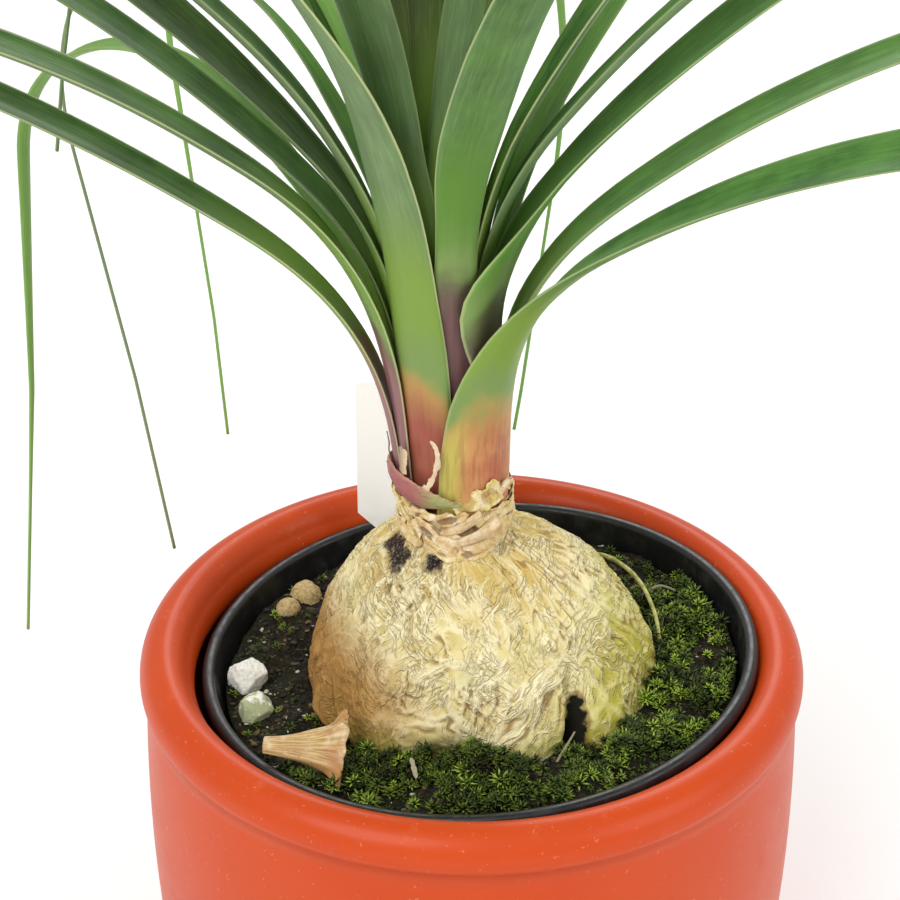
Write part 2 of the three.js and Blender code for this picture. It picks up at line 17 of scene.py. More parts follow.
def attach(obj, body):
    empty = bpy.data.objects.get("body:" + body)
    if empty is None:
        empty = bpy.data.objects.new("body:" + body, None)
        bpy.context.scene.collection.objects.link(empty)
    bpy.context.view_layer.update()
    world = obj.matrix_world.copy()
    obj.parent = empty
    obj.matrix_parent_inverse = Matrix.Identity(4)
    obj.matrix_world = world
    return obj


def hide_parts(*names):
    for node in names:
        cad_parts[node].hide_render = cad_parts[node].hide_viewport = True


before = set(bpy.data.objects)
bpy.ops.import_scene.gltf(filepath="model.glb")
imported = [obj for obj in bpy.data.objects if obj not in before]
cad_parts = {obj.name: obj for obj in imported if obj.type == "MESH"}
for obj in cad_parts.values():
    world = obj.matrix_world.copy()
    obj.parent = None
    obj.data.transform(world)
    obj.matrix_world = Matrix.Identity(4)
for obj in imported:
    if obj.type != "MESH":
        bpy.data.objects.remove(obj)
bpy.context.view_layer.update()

# Cover pot. One thick moulding of satin plastic, coloured like terracotta, with a fat rolled lip
# over a groove. It stands on its flat foot and holds the nursery pot.
MM = 0.001
POT_H = 110
POT_OUTLINE = [
    [(54, 0)],
    [(63, 0), (70.6, 22), (71.6, 42)],
    [(73.2, 64), (72.6, 87), (71.5, 101)],
    [(72.4, 101.2), (73, 102.5), (73, 103.5)],
    [(73, 107.6), (70, 110), (67, 110)],
    [(64, 109.6), (62.6, 105.5)],
    [(61.2, 103), (61.2, 100.5)],
    [(61.2, 99), (63.2, 97)],
    [(69.6, 90), (69.6, 64), (68.6, 42)],
    [(67.6, 22), (61, 3), (50, 3)],
    [(0, 3)],
]


def paint(red, green, blue):
    """A colour as the shader takes it, from the shades that a screen shows."""
    shades = [s / 255 for s in (red, green, blue)]
    return (*[s / 12.92 if s < 0.04 else ((s + 0.055) / 1.055) ** 2.4 for s in shades], 1)


class Value:
    """An output of one of a finish's nodes, which sums and masks are written with."""

    def __init__(self, finish, node, out=0):
        self.finish = finish
        self.node = node
        self.socket = node.outputs[out]

    def out(self, name):
        return Value(self.finish, self.node, name)

    def maths(self, operation, first, second):
        return self.finish.add("Math", {"operation": operation}, {0: first, 1: second})

    def __add__(self, other):
        return self.maths("ADD", self, other)

    def __sub__(self, other):
        return self.maths("SUBTRACT", self, other)

    def __rsub__(self, other):
        return self.maths("SUBTRACT", other, self)

    def __mul__(self, other):
        return self.maths("MULTIPLY", self, other)

    def __pow__(self, other):
        return self.maths("POWER", self, other)

    def __abs__(self):
        return self.maths("ABSOLUTE", self, 0)

    __radd__ = __add__
    __rmul__ = __mul__

    def rises(self, low, high):
        """0 under low, 1 over high, and a soft step between them."""
        steps = {"From Min": low, "From Max": high, "Value": self}
        return self.finish.add("MapRange", {"interpolation_type": "SMOOTHSTEP"}, steps)


class Finish:
    """A procedural material, built up node by node on a Principled shader."""

    def __init__(self, name, **constants):
        self.material = bpy.data.materials.new(name)
        self.material.use_nodes = True
        self.nodes = self.material.node_tree.nodes
        self.skin = self.nodes["Principled BSDF"]
        for socket, value in constants.items():
            self.skin.inputs[socket.replace("_", " ")].default_value = value
        self.place = self.add("TexCoord").out("Object")

    def at(self, axis):
        """The place along an axis, in metres."""
        return self.add("SeparateXYZ", {}, {0: self.place}).out(axis)

    def add(self, kind, settings=None, sockets=None):
        """A node of that kind: its settings first, then the values or links of its sockets."""
        node = self.nodes.new("ShaderNode" + kind)
        for key, value in (settings or {}).items():
            setattr(node, key, value)
        for key, value in (sockets or {}).items():
            self.plug(node.inputs[key], value)
        return Value(self, node)

    def plug(self, socket, value):
        if isinstance(value, Value):
            self.material.node_tree.links.new(value.socket, socket)
        else:
            socket.default_value = value

    def coats(self, ground, *coats):
        """A ground with coats over it: the share of each, and its shades or another output."""
        for share, coat in coats:
            first, second = (paint(*c) if isinstance(c, tuple) else c for c in (ground, coat))
            mixed = self.add("Mix", {"data_type": "RGBA"}, {0: share, 6: first, 7: second})
            ground = mixed.out(2)
        return ground

    def mottle(self, grain, detail=3, rough=0.55, stretch=(1, 1, 1), place=None):
        """Noise from 0 to 1 with that grain in millimetres, drawn out by stretch."""
        scale = [1 / (MM * grain * s) for s in stretch]
        spread = {"operation": "MULTIPLY"}
        spot = self.add("VectorMath", spread, {0: place or self.place, 1: scale})
        sockets = {"Vector": spot, "Scale": 1, "Detail": detail, "Roughness": rough}
        return self.add("TexNoise", {}, sockets)

    def kept(self, name):
        """The three numbers of that name kept at the piece's points."""
        numbers = self.add("Attribute", {"attribute_name": name}).out("Vector")
        split = self.add("SeparateXYZ", {}, {0: numbers})
        return split, split.out("Y"), split.out("Z")

    def relief(self, height, depth):
        """Fine relief, depth millimetres where height goes from 0 to 1."""
        bump = self.add("Bump", {}, {"Strength": 1, "Distance": depth * MM, "Height": height})
        self.plug(self.skin.inputs["Normal"], bump)

    def colour(self, ground, *coats):
        self.plug(self.skin.inputs["Base Color"], self.coats(ground, *coats))

    def roughness(self, value):
        self.plug(self.skin.inputs["Roughness"], value)


def outline_points(pieces, steps):
    """Points along an outline from the axis: each piece is the control points of one curve."""
    points = [(0, pieces[0][-1][1])]
    for piece in pieces:
        controls = np.array([points[-1], *piece], float)
        count = 1 if len(piece) == 1 else steps
        for share in np.arange(1, count + 1) / count:
            layer = controls
            while len(layer) > 1:
                layer = layer[:-1] + (layer[1:] - layer[:-1]) * share
            points.append(tuple(layer[0]))
    return points


def around(count):
    """That many turns, evenly round a circle."""
    return np.arange(count) * 2 * pi / count


def turned(points, sides):
    """Rows of a turned piece from (radius, height) points."""
    return [[(r * cos(t), r * sin(t), z) for t in around(sides if r > 1e-6 else 1)]
            for r, z in points]


def skin(rows):
    """Points and faces over rows of points: a row is a loop, or one point that closes an end."""
    points, faces = [], []
    for row in rows:
        start = len(points)
        points.extend(row)
        if start:
            around = max(len(row), len(below))
            for j in range(around):
                k = (j + 1) % around
                loop = [first + j % len(below), first + k % len(below),
                        start + k % len(row), start + j % len(row)]
                faces.append(tuple(dict.fromkeys(loop)))
        first, below = start, row
    return points, faces


def added(name, data):
    """A new object in the scene, with that mesh, light or camera."""
    made = bpy.data.objects.new(name, data)
    bpy.context.scene.collection.objects.link(made)
    return made


def piece(name, points, faces, finish, slot, replaces=(), **kept):
    """A piece that rides with the pot, with its finish, and with numbers kept at its points."""
    mesh = bpy.data.meshes.new(name)
    mesh.from_pydata((np.array(points, float) * MM).tolist(), [], faces)
    for key, numbers in kept.items():
        store = mesh.attributes.new(key, "FLOAT_VECTOR", "POINT")
        store.data.foreach_set("vector", np.array(numbers, np.float32).ravel())
    mesh.materials.append(finish.material)
    mesh.shade_smooth()
    made = added(name, mesh)
    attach(made, "root")
    if replaces:
        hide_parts(*replaces)
    return made


terracotta = Finish("terracotta_plastic", Specular_IOR_Level=0.2, Coat_Weight=0.1,
                    Coat_Roughness=0.18)
speck = terracotta.mottle(1.1, detail=1).rises(0.7, 0.76)
rub = terracotta.mottle(7, detail=6, rough=0.7).rises(0.56, 0.8)
worn_lip = rub * terracotta.at("Z").rises(0.098, 0.11)
terracotta.colour(
    (190, 62, 14),
    (terracotta.mottle(34, detail=2), (202, 74, 20)),
    (worn_lip * 0.3, (228, 140, 102)),
    (speck * 0.3, (228, 146, 106)))
terracotta.roughness(0.36 + 0.14 * terracotta.mottle(9) + 0.15 * rub)
terracotta.relief(terracotta.mottle(0.6, detail=2), 0.012)
pot_points = outline_points(POT_OUTLINE, steps=12)
piece("cover_pot_fine", *skin(turned(pot_points, sides=200)), terracotta, "cover_pot",
      ["cover_pot"])

# Nursery pot. Thin black plastic with a rolled rim and five drain holes, standing inside the
# cover pot a little crooked, lower at its left side.
TRAY_LEAN = radians(3.7)
TRAY_SHIFT = 1.6
TRAY_RIM_Z = POT_H - 3.5
TRAY_R = 61.4
TRAY_FOOT_R = 42
TRAY_WALL = 1.2
TRAY_H = (TRAY_RIM_Z - 3.3 - TRAY_FOOT_R * sin(TRAY_LEAN)) / cos(TRAY_LEAN)
DRAINS = 5
DRAIN_R = 3.5
DRAIN_RING = 27


def tray_inside(z):
    return TRAY_R - 3 + z * (TRAY_R - 1.8 - TRAY_FOOT_R) / TRAY_H


def crooked(point):
    """From the nursery pot's own frame, with its rim at 0, to the palm's."""
    x, y, z = point
    return (x * cos(TRAY_LEAN) - z * sin(TRAY_LEAN) + TRAY_SHIFT, y,
            x * sin(TRAY_LEAN) + z * cos(TRAY_LEAN) + TRAY_RIM_Z)


tray_outline = outline_points([
    [(0, -TRAY_H)],
    [(TRAY_FOOT_R, -TRAY_H)],
    [(TRAY_R - 1.8, -3.4)],
    [(TRAY_R - 0.8, -3.3), (TRAY_R, -2.6)],
    [(TRAY_R + 0.1, 0), (TRAY_R - 1.4, 0)],
    [(TRAY_R - 3, 0), (TRAY_R - 3, -1.6)],
    [(TRAY_FOOT_R - TRAY_WALL, TRAY_WALL - TRAY_H)],
    [(0, TRAY_WALL - TRAY_H)],
], steps=6)
black = Finish("black_plastic", Specular_IOR_Level=0.4)
dust = black.mottle(5, detail=6, rough=0.7).rises(0.42, 0.75)
streak = black.mottle(1.2, stretch=(1, 1, 14)).rises(0.55, 0.8)
level = black.at("Z") - tan(TRAY_LEAN) * black.at("X")
# The top edge of the rim: light grey marks, partly dust and scuffs and partly a painted highlight
highlit_rim = level.rises((TRAY_RIM_Z - 0.15) * MM, (TRAY_RIM_Z - 0.02) * MM)
scuff_and_glint = black.mottle(2.6, detail=5, rough=0.7).rises(0.42, 0.6)
black.colour(
    (24, 24, 26),
    (streak * 0.4, (50, 49, 47)),
    (dust * 0.22, (70, 69, 66)),
    (highlit_rim * scuff_and_glint * 0.5, (150, 146, 140)))
black.roughness(0.3 + 0.35 * dust)
black.relief(black.mottle(0.9, detail=4), 0.03)
tray_rows = [[crooked(p) for p in row] for row in turned(tray_outline[1:], sides=160)]
tray = piece("nursery_pot_fine", *skin(tray_rows), black, "nursery_pot", ["nursery_pot"])
drills = bmesh.new()
for turn in around(DRAINS):
    at = Vector(crooked((DRAIN_RING * cos(turn), DRAIN_RING * sin(turn), -TRAY_H)))
    made = bmesh.ops.create_cone(drills, cap_ends=True, segments=24, radius1=DRAIN_R * MM,
                                 radius2=DRAIN_R * MM, depth=6 * MM)
    bmesh.ops.translate(drills, verts=made["verts"], vec=at * MM)
drill_mesh = bpy.data.meshes.new("drills")
drills.to_mesh(drill_mesh)
drills.free()
drill = added("drills", drill_mesh)
cut = tray.modifiers.new("drain_holes", "BOOLEAN")
cut.operation, cut.object = "DIFFERENCE", drill
bpy.context.view_layer.objects.active = tray
bpy.ops.object.modifier_apply(modifier=cut.name)
bpy.data.objects.remove(drill)

# Soil. Dark, damp potting soil, filled in round the trunk and lumpy on top, with crumbs of bark
# and grit pressed into it.
SOIL_DROP = 6.5
SOIL_SIDES = 260
SOIL_RINGS = 64


def soil_height(x, y):
    mound = 1.2 * exp(-((x + 44) ** 2 + (y - 28) ** 2) / 170) - 0.03 * min(0, y) \
        + 2.8 * exp(-((x - 6) / 26) ** 2 - ((y + 42) / 9) ** 2)
    lumps = 0.8 * sin(0.21 * x + 1.1) * cos(0.17 * y - 0.4) + 0.5 * sin(0.43 * x - 0.36 * y)
    return mound + lumps - SOIL_DROP


def soil_point(x, y, over=0):
    """A point on the soil, in the palm's frame, from a place in the nursery pot's."""
    spot = Vector((x, y, 0))
    crumbly = 0.8 * noise(spot * 0.22) + 0.55 * abs(noise(spot * 0.7)) + 0.35 * noise(spot * 1.7)
    return crooked((x, y, soil_height(x, y) + crumbly + over))


loam = Finish("damp_soil", Roughness=0.92, Specular_IOR_Level=0.2)
crumb = loam.mottle(1.3, detail=6, rough=0.7)
green = loam.mottle(11, detail=3).rises(0.45, 0.62)
loam.colour(
    (17, 15, 10),
    (crumb.rises(0.38, 0.72), (62, 52, 34)),
    (green * 0.7, (30, 38, 16)))
loam.relief(crumb, 0.6)
turns = around(SOIL_SIDES)
bottom = TRAY_WALL + 0.3 - TRAY_H
edge = tray_inside(bottom) - 0.5
rows = [[crooked((0, 0, bottom))]]
rows.append([crooked((edge * cos(t), edge * sin(t), bottom)) for t in turns])
for share in np.linspace(0.995, 0.42, SOIL_RINGS):
    r = share * (tray_inside(-SOIL_DROP) - 0.5)
    rows.append([soil_point(r * cos(t), r * sin(t)) for t in turns])
rows.append([soil_point(0, 0)])
piece("soil_fine", *skin(rows), loam, "soil", ["soil"])

# Trunk. The swollen foot of the palm, grown in one piece with its neck: grey-green cork with
# straw-coloured fibres standing proud of it, toes and clefts at the soil, and two dark scars.
NECK_X = -3.6
NECK_Z = POT_H + 27
STEM_LEAN = 0.04
CROWN_R = 10.8
CROWN_TAPER = 0.19
# Height over the lip, radius and centre of the trunk, from its buried foot to the neck
TRUNK = [(-42, 12, 3.2), (-38, 24, 3.2), (-30, 32.5, 3.1), (-20, 37, 2.8), (-10, 38.6, 2.4),
         (-2, 36.8, 2.2), (6, 33.4, 1.5), (13, 28.9, 0.5), (19, 23.4, -1), (23, 18.2, -2.3),
         (25.4, 14.4, -3.1), (26.4, 12.6, -3.4), (30, 10.2, -3.7), (60, 4.2, -5)]
TRUNK_SIDES = 600
# Toes at its foot: the turn where each is, how far it stands out and how wide it is
TOES = [(-0.84, 4.4, 0.2), (-1.38, 2, 0.2), (-2.2, 1.4, 0.26)]
# The turns of the deep cleft, which leans as it rises, and of a shallower one at its left
CLEFT = -1
CLEFT_LEAN = 0.009
LEFT_CLEFT = -1.78
# Scars: where they are, with the height over the lip, and how wide
SCARS = [(-16.2, -4.5, 26.4, 3.1), (-15.2, -8.8, 24.6, 3.2), (-7.9, -12.6, 25.9, 2.1)]


def smooth(x):
    x = min(1, max(0, x))
    return x * x * (3 - 2 * x)


def hump(x, middle, reach):
    return exp(-(((x - middle) / reach) ** 2))


def swell(turn, z):
    """Toes and clefts at the trunk's foot."""
    low = smooth((12 - z) / 22)
    toe = sum(out * hump(turn, at, wide) for at, out, wide in TOES)
    cleft = 8 * hump(turn, CLEFT + CLEFT_LEAN * z, 0.05) + 2.4 * hump(turn, LEFT_CLEFT, 0.16) \
        + 1.6 * hump(turn, LEFT_CLEFT, 0.22) * smooth((-3 - z) / 5)
    wave = 0.5 * sin(3 * turn + 0.06 * z) * smooth((24 - z) / 10)
    return low * (toe - cleft) + wave


def between(table, at):
    """The other columns of a table, read off where its first column has that value."""
    first, *others = zip(*table)
    return [np.interp(at, first, column) for column in others]


def wobble(x, y=0, z=0):
    """Smooth noise, about -1 to 1, at a place."""
    return noise(Vector((x, y, z)))


def string(spot, width):
    """1 along the wandering lines where the noise changes sign, and 0 off them."""
    return smooth(1 - abs(noise(spot)) / width)


# Fibres that cross the bark: the slope of each set, how far apart they are and how long, and a
# number of its own. The set numbered RIGHT_SET covers the whole right side.
FIBRES = [(1.3, 3.4, 26, 2), (-1.5, 3.8, 22, 5), (0.25, 3, 30, 8), (-0.4, 4.2, 17, 11),
          (4, 3.2, 24, 14)]
RIGHT_SET = 5
BARK_R = 34


def bark(x, y, z, turn):
    """How far the bark stands proud, and its fibre, painted crack shade and scar, each 0 to 1."""
    spot = Vector((x, y, z))
    arc = BARK_R * turn
    right = smooth((turn + 1.25) / 0.35) * smooth((1.3 - turn) / 0.5)
    low = smooth((6 - z) / 22)
    warp = 0.55 * noise_vector(spot * 0.09) + 0.16 * noise_vector(spot * 0.4)
    strand, furrow = 0, 0
    for slope, apart, long, own in FIBRES:
        tilt = hypot(1, slope)
        along, over = (z * slope + arc) / tilt, (z - arc * slope) / tilt
        here = smooth(2.6 * noise(spot * 0.075 + Vector((own, own, 0))) + 0.35)
        if own == RIGHT_SET:
            here = max(here * (1 - right), right)
        fibre = string(Vector((over / apart, along / long, own)) + warp, 0.17)
        strand = max(strand, fibre * here)
        beside = string(Vector((over / apart + 0.3, along / long, own)) + warp, 0.13)
        furrow = max(furrow, beside * here)
    furrow *= 1 - strand
    fold = abs(noise(Vector(((z + 1.3 * arc) / 26, (z - 1.5 * arc) / 9, 3)) + warp))
    shaded_crack = right * smooth(1 - fold / 0.06) * smooth(2 * noise(spot * 0.06) + 0.5)
    # Furrows beside the fibres join the cracks, and both are painted in shade in the cork finish
    shaded_crack = max(shaded_crack, furrow * smooth(2.4 * noise(spot * 0.13) + 0.1 + 0.5 * low))
    proud = 0.24 * strand - 0.2 * furrow - 0.4 * shaded_crack
    proud += right * (0.6 - 2.2 * fold) + (1.1 + 0.8 * low) * noise(spot / 11)
    proud += 0.2 * noise(spot * 0.3) + 0.1 * noise(spot * 0.8)
    proud += 0.08 * noise(spot * 2.1)
    proud += 0.6 * smooth((z - 21) / 4) * abs(wobble(x * 0.8, y * 0.8, z * 0.4))
    scar = 0
    for sx, sy, sz, wide in SCARS:
        away = (spot - Vector((sx, sy, sz))).length / wide
        scar = max(scar, smooth(2 - 1.6 * away + 0.9 * noise(spot * 0.8)))
    proud += scar * (0.9 * abs(noise(spot * 1.3)) - 0.5)
    # Painted shadow: the deep cleft at the foot, which is painted near-black on its wall
    cleft_shadow = smooth((7 - z) / 7) * hump(turn, CLEFT + 0.035 + CLEFT_LEAN * z, 0.05)
    cleft_shadow = smooth(cleft_shadow * (1.9 + 0.9 * noise(spot * 0.7)) - 0.5)
    return proud, strand, max(0.75 * shaded_crack, cleft_shadow), scar


levels = list(np.linspace(-41, -16, 12)) + list(np.arange(-15.4, 30.2, 0.36)) \
    + list(np.linspace(31, 58, 10))
# The noise that bends the fibres needs a seed, or else it differs in each run
seed_set(7)
rows, grain = [], []
for z in levels:
    r, middle = between(TRUNK, z)
    shown = smooth((z + 16) / 4) * smooth((30.5 - z) / 4)
    row = []
    for turn in around(TRUNK_SIDES) - pi:
        reach = r + swell(turn, z)
        proud, *marks = bark(middle + reach * cos(turn), reach * sin(turn), z, turn)
        reach += shown * proud
        row.append((middle + reach * cos(turn), reach * sin(turn), POT_H + z))
        grain.append(marks)
    rows.append(row)
cork = Finish("cork_bark", Specular_IOR_Level=0.25)
strand, shaded_crack, scar = cork.kept("bark")
fine = cork.mottle(0.5, detail=6, rough=0.75)
patch = cork.mottle(9, detail=4, rough=0.6)
wander = cork.add("TexNoise", {}, {"Vector": cork.place, "Scale": 110, "Detail": 3}).out("Color")
scatter = {0: wander, 1: (0.006, 0.006, 0.006), 2: cork.place}
bent = cork.add("VectorMath", {"operation": "MULTIPLY_ADD"}, scatter)
split = cork.add("SeparateXYZ", {}, {0: bent})
hair, groove_shadow = 0, 0
for slope, apart, long, own in ((0.8, 1.3, 9, 3), (-0.9, 1.1, 8, 7), (3, 1.5, 10, 1)):
    tilt = 1 / hypot(1, slope)
    along = (split.out("Z") * slope + split) * (tilt / long)
    over = (split.out("Z") - split * slope) * (tilt / apart)
    thread = cork.add("CombineXYZ", {}, {0: over, 1: along, 2: split.out("Y") * (1 / long)})
    wave = cork.mottle(1, detail=1, place=thread)
    here = cork.mottle(7 + own, detail=2).rises(0.46, 0.58)
    line = (1 - abs(wave - 0.5).rises(0.006, 0.045)) * here
    hair = line.maths("MAXIMUM", hair, line)
    shadow = (1 - abs(wave - 0.56).rises(0.004, 0.03)) * here
    groove_shadow = shadow.maths("MAXIMUM", groove_shadow, shadow)
side, height = cork.at("X"), cork.at("Z")
brown = (0.004 - side + 0.02 * (patch - 0.5)).rises(0.01, 0.028)
brown = brown * (0.127 - height).rises(0, 0.016)
lime = (side + 0.8 * (0.114 - height) + 0.02 * patch).rises(0.02, 0.046)
top = (height - 0.1275 + 0.006 * patch).rises(0, 0.008)
damp = (0.108 - height + 0.012 * patch).rises(0.003, 0.014) * (side + 0.034).rises(0, 0.016)
straw = cork.coats(
    (250, 240, 200),
    (lime * 0.5, (222, 212, 104)),
    (brown * 0.95, (196, 146, 74)),
    (damp * 0.8, (176, 166, 72)))
speck = fine.rises(0.5, 0.64) * cork.mottle(4, detail=3).rises(0.4, 0.6)
cork.colour(
    (210, 194, 126),
    (patch.rises(0.35, 0.6), (234, 218, 158)),
    (patch.rises(0.52, 0.68) * 0.7, (186, 188, 138)),
    (brown * 0.94, (160, 116, 54)),
    (lime * 0.9, (186, 178, 48)),
    (top * 0.7, (204, 170, 82)),
    (damp * 0.9, (122, 116, 36)),
    (strand * 0.65, straw),
    (hair * 0.75, straw),
    (speck * (0.8 - 0.45 * hair), (136, 108, 56)),
    # Painted shadow: thin brown lines just beside the fine hairs
    (groove_shadow * (0.45 - 0.45 * hair), (156, 120, 62)),
    # Painted shade: brown down in cracks and furrows, near-black on the wall of the deep cleft
    (shaded_crack.rises(0.05, 0.6) * 0.7, (134, 98, 50)),
    (shaded_crack.rises(0.7, 1), (20, 20, 10)),
    (scar * (0.5 + 0.5 * fine.rises(0.3, 0.5)), (46, 32, 38)))
cork.roughness(0.74 + 0.2 * fine)
cork.relief(fine * 0.8 + hair - 0.6 * groove_shadow, 0.26)
foot, tip = ([(x, 0, POT_H + z)] for z, _, x in (TRUNK[0], TRUNK[-1]))
piece("caudex_fine", *skin([foot, *rows, tip]), cork, "caudex", ["caudex"],
      bark=[(0, 0, 0), *grain, (0, 0, 0)])

# Collar. The dry bases of leaves that have fallen, one over the other round the neck: papery
# straps, creased and crumpled, some rolled up, and one at the right front that still stands up.
COLLAR_R = 11.5
LAYER = 0.65
STRAP_SIDES = 20
# Straps: points along each, as the turn in degrees, the height over the neck and how many layers
# out it lies; its width at the start and at the end; and how yellow it is
STRAPS = [
    ([(-190, 5, 0.3), (-90, 4.8, 0.3), (0, 5, 0.3), (90, 5, 0.3), (184, 5, 0.3)], 8, 8, 0.3),
    ([(-176, 11, 1.6), (-158, 9.5, 1.5), (-138, 7, 1.6), (-124, 3.5, 1.9)], 2.2, 3.4, 0.6),
    ([(-170, 7, 1), (-150, 3.5, 1.2), (-122, 2.6, 1.5)], 5.5, 3, 0.3),
    ([(-140, 9.5, 1.2), (-118, 9.8, 1.5), (-92, 9.4, 1.5), (-74, 10.5, 1.3)], 2.4, 3, 0.2),
    ([(-132, 7.6, 1.8), (-112, 6.6, 2.1), (-94, 3.4, 2.2), (-78, 2.6, 1.6)], 2.6, 3.4, 0.1),
    ([(-118, 4.6, 2), (-98, 1.6, 2.3), (-72, 1.2, 2.2), (-46, 3, 1.6)], 3, 3.4, 0.35),
    ([(-96, 6, 2.4), (-76, 3.6, 2.6), (-54, 3.2, 2.4), (-30, 5, 1.6)], 2.4, 3.6, 0.2),
    ([(-70, 8.4, 1.4), (-44, 9, 1.7), (-14, 8, 1.5), (16, 9, 1)], 3.4, 4.2, 0.5),
    ([(-90, 12.2, 1), (-70, 12.6, 1.3), (-54, 13.6, 1.6), (-38, 15.4, 1.9)], 2.6, 8.6, 1),
    ([(-44, 14.2, 2.2), (-32, 15, 2.6), (-24, 14.6, 3.4)], 3, 2, 0.1),
]
random.seed(11)
for start in (-58, -38, -20, 0, 22, 40, 62, 84, 100, 122, 140):
    rise = random.uniform(2, 9.5)
    reach = random.uniform(45, 95)
    away = random.uniform(0.8, 1.9)
    STRAPS.append(([(start, rise, away), (start + reach / 2, rise + random.uniform(-2, 2), away),
                    (start + reach, rise + random.uniform(-3, 3), away - 0.4)],
                   random.uniform(2.4, 4.5), random.uniform(2.4, 4.5), random.random()))
# Rolls: points along each, in the same way, and how thick it is at its start and its end
ROLLS = [([(-102, 6.4, 2.6), (-84, 8, 3), (-63, 10.4, 2.4)], 1.6, 2.3),
         ([(-88, 4.2, 2.6), (-66, 5.6, 3.1), (-47, 7.4, 2.9)], 2, 3.9)]


def along_curve(points, share):
    """A point on a smooth curve through the points, at a share of its stretches."""
    at = min(share * (len(points) - 1), len(points) - 1.001)
    n, t = int(at), at - int(at)
    a, b, c, d = (np.array(points[min(len(points) - 1, max(0, k))], float)
                  for k in (n - 1, n, n + 1, n + 2))
    return 0.5 * (2 * b + (c - a) * t + (2 * a - 5 * b + 4 * c - d) * t * t
                  + (3 * b - a - 3 * c + d) * t ** 3)


def round_stem(turn, out, z):
    """A point round the leaning stem: a turn, how far out, and the height over the neck."""
    return (NECK_X + out * cos(turn) - STEM_LEAN * z, out * sin(turn), NECK_Z + z)


def heading(turn, rise=0):
    """A way, from its turn seen from above and how far it rises."""
    return Vector((cos(turn) * cos(rise), sin(turn) * cos(rise), sin(rise)))


def over_collar(path, u):
    """The point at a share of a path round the neck, the way across it and the way out."""
    def place(turn, z, away):
        return Vector(round_stem(radians(turn), COLLAR_R + LAYER * away, z))
    here = along_curve(path, u)
    ahead = place(*along_curve(path, min(1, u + 0.02))) - place(*along_curve(path, max(0, u - 0.02)))
    out = heading(radians(here[0]))
    ahead.normalize()
    out = (out - ahead * out.dot(ahead)).normalized()
    return place(*here), out.cross(ahead), out


def closed(rows):
    """Rows of a piece, with a point in the middle of its first and last row to close it."""
    first, last = (tuple(np.mean(rows[n], axis=0)) for n in (0, -1))
    return [[first], *rows, [last]]


def ribbon(path, first, last, yellow, seed, crumple=0.4, steps=90):
    """Rows of one papery strap along a path, and its kept numbers: a shade, across and a fold."""
    rows, kept = [], []
    arc = 0.2 * abs(path[-1][0] - path[0][0]) + abs(path[-1][1] - path[0][1])
    for i in range(steps + 1):
        u = i / steps
        here, rise, out = over_collar(path, u)
        ragged = 1 + 0.6 * wobble(seed * 3.7, u * arc * 0.4)
        half = (first + (last - first) * u) / 2 * ragged * (0.3 + 0.7 * smooth(9 * u)
                                                            * smooth(9 - 9 * u))
        row = []
        for a in around(STRAP_SIDES):
            v = cos(a)
            w = v * half
            torn = 0.35 * v * wobble(u * arc * 1.1, v, seed)
            fold = 0.9 - 3.2 * abs(wobble(u * arc * 0.16, w * 0.55, seed)) \
                + 0.8 * wobble(u * arc * 0.7, w * 0.9, seed + 5)
            row.append(here + rise * (w + torn) + out * (0.14 * sin(a) + crumple * fold))
            kept.append((yellow, v, 0.5 + fold))
        rows.append(row)
    return closed(rows), [(yellow, 0, 0.5), *kept, (yellow, 0, 0.5)]


def roll(path, first, last, seed):
    """Rows of a strap that has rolled up into a tube, open at its far end."""
    rows, kept = [], []
    shares = [i / 40 for i in range(41)] + [1, 0.97, 0.9, 0.84]
    for i, u in enumerate(shares):
        here, rise, out = over_collar(path, u)
        inside = i > 40
        size = (first + (last - first) * u) / 2 * (0.25 + 0.75 * smooth(6 * u)) \
            * (0.8 if inside else 1)
        row = []
        for a in around(STRAP_SIDES):
            crease = 1 + 0.16 * wobble(u * 3, cos(a) * 2, sin(a) * 2 + seed)
            row.append(here + (rise * cos(a) + out * (0.72 * sin(a))) * size * crease)
            # The inside of the tube gets the lowest fold number, which paints it in shade
            kept.append((0, cos(a), -0.6 if inside else 0.3 + 1.5 * (crease - 0.9)))
        rows.append(row)
    return closed(rows), [(0, 0, 0.5), *kept, (0, 0, -0.6)]


def gathered(parts):
    """One set of points, faces and kept numbers from many parts, some with one mark throughout."""
    points, faces, marks = [], [], []
    for rows, kept in parts:
        own, loops = skin(rows)
        faces += [tuple(len(points) + k for k in loop) for loop in loops]
        points += own
        marks += kept if isinstance(kept, list) else [kept] * len(own)
    return points, faces, marks


husk = Finish("papery_husk", Roughness=0.7, Specular_IOR_Level=0.25)
yellow, _, fold = husk.kept("strip")
grainy = husk.mottle(0.45, detail=5, rough=0.7)
fleck = husk.mottle(2.4, detail=4)
husk.colour(
    (222, 194, 146),
    (yellow, (226, 204, 118)),
    (fleck.rises(0.45, 0.66) * 0.7, (242, 228, 196)),
    (fleck.rises(0.48, 0.34) * 0.5, (178, 134, 86)),
    # Painted shade: darker brown down in the creases of the straps and inside the rolled ones
    (fold.rises(0.6, 0) * (0.85 - 0.5 * yellow), (104, 64, 42)),
    (grainy.rises(0.52, 0.66) * 0.5, (136, 96, 60)))
husk.relief(grainy, 0.16)
parts = [ribbon(*band, seed=n + 1) for n, band in enumerate(STRAPS)]
parts += [roll(*band, seed=n + 3) for n, band in enumerate(ROLLS)]
points, faces, marks = gathered(parts)
piece("dry_sheath_collar_fine", points, faces, husk, "dry_husk", ["dry_sheath_collar"],
      strip=marks)

